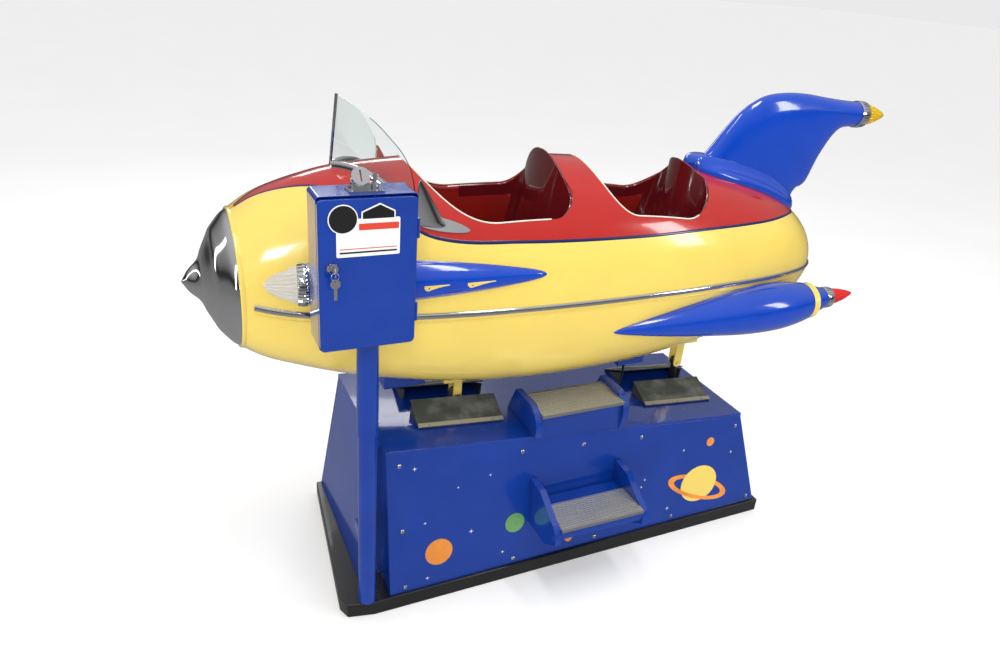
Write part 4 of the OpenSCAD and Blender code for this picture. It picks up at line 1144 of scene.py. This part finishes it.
CABLE = [
    (0.258, -0.030, 0.598), (0.258, -0.030, 0.576), (0.258, -0.031, 0.555), (0.257, -0.032, 0.535),
    (0.253, -0.033, 0.517), (0.243, -0.034, 0.500), (0.228, -0.033, 0.489), (0.208, -0.031, 0.483),
    (0.186, -0.031, 0.483), (0.166, -0.038, 0.484), (0.153, -0.052, 0.485), (0.150, -0.070, 0.485),
    (0.158, -0.088, 0.484), (0.173, -0.098, 0.484), (0.190, -0.101, 0.484), (0.203, -0.096, 0.485),
    (0.210, -0.087, 0.480), (0.211, -0.082, 0.471), (0.211, -0.082, 0.452),
]


def make_cable():
    path = spline(CABLE, 70)
    obj = loft("power_lead", sweep_rows(path, ring_shape(0.0045, 12)), "cable", None, ["power_cable"], True,
        False, 60)
    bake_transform(obj)


def make_gland():
    """Tapered rubber grommet where the lead enters the deck."""
    z = deck_z(0.211)
    prof = [
        (-0.0035, 0.0049), (-0.0035, 0.0060), (0.0012, 0.0125), (0.003, 0.0128), (0.0042, 0.0115),
        (0.0046, 0.0090), (0.0105, 0.0070), (0.012, 0.0062), (0.012, 0.0049),
    ]
    loft("cable_gland", lathe_rows(prof, (0.211, -0.082, z), (0, 0, 1), 40), "cable", "base", (), False,
        True, 40)


def make_pod_marks():
    """Two small pale wedges on each side pod."""
    d = (POD_TO - POD_FROM).normalized()
    made = []
    for side in (1, -1):
        for s0, s1 in ((0.300, 0.372), (0.425, 0.510)):
            rows = []
            for i in range(13):
                t = i / 12
                s = mix(s0, s1, t)
                r = next(mix(a[1], b[1], (s - a[0]) / (b[0] - a[0]))
                    for a, b in zip(POD[3:], POD[4:]) if a[0] <= s <= b[0])
                low = -0.005 + 0.019 * (1 - t) ** 1.6 * min(1, 0.25 + t * 6)
                row = []
                for a, out in ((low + 0.001, 0.0001), (low, 0.0008), (-0.006, 0.0008), (-0.007, 0.0001)):
                    g = (a + 0.006) / max(r, 0.01)
                    q = POD_FROM + d * s + Vector((0, -math.cos(g), -math.sin(g))) * (r + out)
                    row.append(Vector((q.x, side * q.y, q.z)))
                rows.append(row)
            made.append(loft("mark_%d" % len(made), rows, "yellow", "ship"))
    join(made, "pod_marks")


make_cable()
make_gland()
make_shell()
make_cockpits()
make_nose()
make_belt()
make_pods()
make_pod_marks()
make_fin()
make_windshield()
make_base()
make_decals()
make_coin_box()


# ---- floor and light: the glossy bands give the chrome dark and pale parts to reflect ----
def add_stage():
    mesh = bpy.data.meshes.new("floor")
    mesh.from_pydata([(-60, -60, 0), (60, -60, 0), (60, 60, 0), (-60, 60, 0)], [], [(0, 1, 2, 3)])
    floor = bpy.data.objects.new("floor", mesh)
    bpy.context.collection.objects.link(floor)
    n = Nodes("floor")
    tone = n.blend(n.span(n.noise(1.5), 0, 1), (0.90, 0.90, 0.90), (0.93, 0.93, 0.93))
    mesh.materials.append(n.set(Base_Color=tone, Roughness=0.7, Specular_IOR_Level=0.2,
        Emission_Color=(1.0, 1.0, 1.0), Emission_Strength=0.13))
    floor.visible_glossy = False
    world = bpy.data.worlds.new("studio")
    bpy.context.scene.world = world
    world.use_nodes = True
    tree = world.node_tree
    coord = tree.nodes.new("ShaderNodeTexCoord")
    split = tree.nodes.new("ShaderNodeSeparateXYZ")
    ramp = tree.nodes.new("ShaderNodeValToRGB")
    path = tree.nodes.new("ShaderNodeLightPath")
    blend = tree.nodes.new("ShaderNodeMix")
    blend.data_type = "RGBA"
    place = tree.nodes.new("ShaderNodeMapRange")
    tree.links.new(coord.outputs["Generated"], split.inputs[0])
    tree.links.new(split.outputs["Z"], place.inputs["Value"])
    place.inputs["From Min"].default_value = -1
    place.inputs["From Max"].default_value = 1
    tree.links.new(place.outputs["Result"], ramp.inputs["Fac"])
    bands = [
        (0.0, 0.30), (0.30, 0.25), (0.44, 0.17), (0.485, 0.04), (0.515, 0.03), (0.57, 0.18),
        (0.70, 0.42), (1.0, 0.66),
    ]
    elements = ramp.color_ramp.elements
    elements[0].position, elements[0].color = bands[0][0], (bands[0][1],) * 3 + (1,)
    elements[1].position, elements[1].color = bands[-1][0], (bands[-1][1],) * 3 + (1,)
    for at, v in bands[1:-1]:
        elements.new(at).color = (v, v, v, 1)
    tree.links.new(path.outputs["Is Glossy Ray"], blend.inputs[0])
    blend.inputs[6].default_value = (0.82, 0.82, 0.82, 1)
    tree.links.new(ramp.outputs["Color"], blend.inputs[7])
    tree.links.new(blend.outputs[2], tree.nodes["Background"].inputs["Color"])
    tree.nodes["Background"].inputs["Strength"].default_value = 1.0


def add_light(name, at, target, size, power):
    data = bpy.data.lights.new(name, "AREA")
    data.shape = "RECTANGLE"
    data.size, data.size_y = size
    data.energy = power
    obj = bpy.data.objects.new(name, data)
    bpy.context.collection.objects.link(obj)
    obj.location = at
    obj.rotation_euler = (Vector(target) - Vector(at)).to_track_quat("-Z", "Y").to_euler()


add_stage()
add_light("key", (-2.2, -4.2, 4.0), (0, 0, 0.8), (1.1, 0.8), 55)
add_light("fill", (3.6, -3.4, 2.6), (0, 0, 0.8), (0.5, 1.6), 22)
add_light("top_a", (-0.7, -0.9, 4.2), (-0.5, 0, 0), (0.35, 2.0), 26)
add_light("top_b", (0.9, -0.9, 4.2), (0.8, 0, 0), (0.35, 2.0), 26)
add_light("strip_a", (-5.0, -2.2, 1.9), (-1.1, 0, 1.0), (0.3, 2.6), 16)
add_light("strip_c", (-4.8, 1.9, 1.9), (-1.1, 0, 1.0), (0.5, 2.4), 10)
add_light("strip_b", (-3.4, -5.2, 1.4), (-1.0, 0, 1.0), (0.25, 2.2), 12)
add_light("back", (0.5, 4.0, 3.2), (0, 0, 0.9), (3.0, 0.8), 30)
bpy.context.scene.view_settings.view_transform = "Standard"
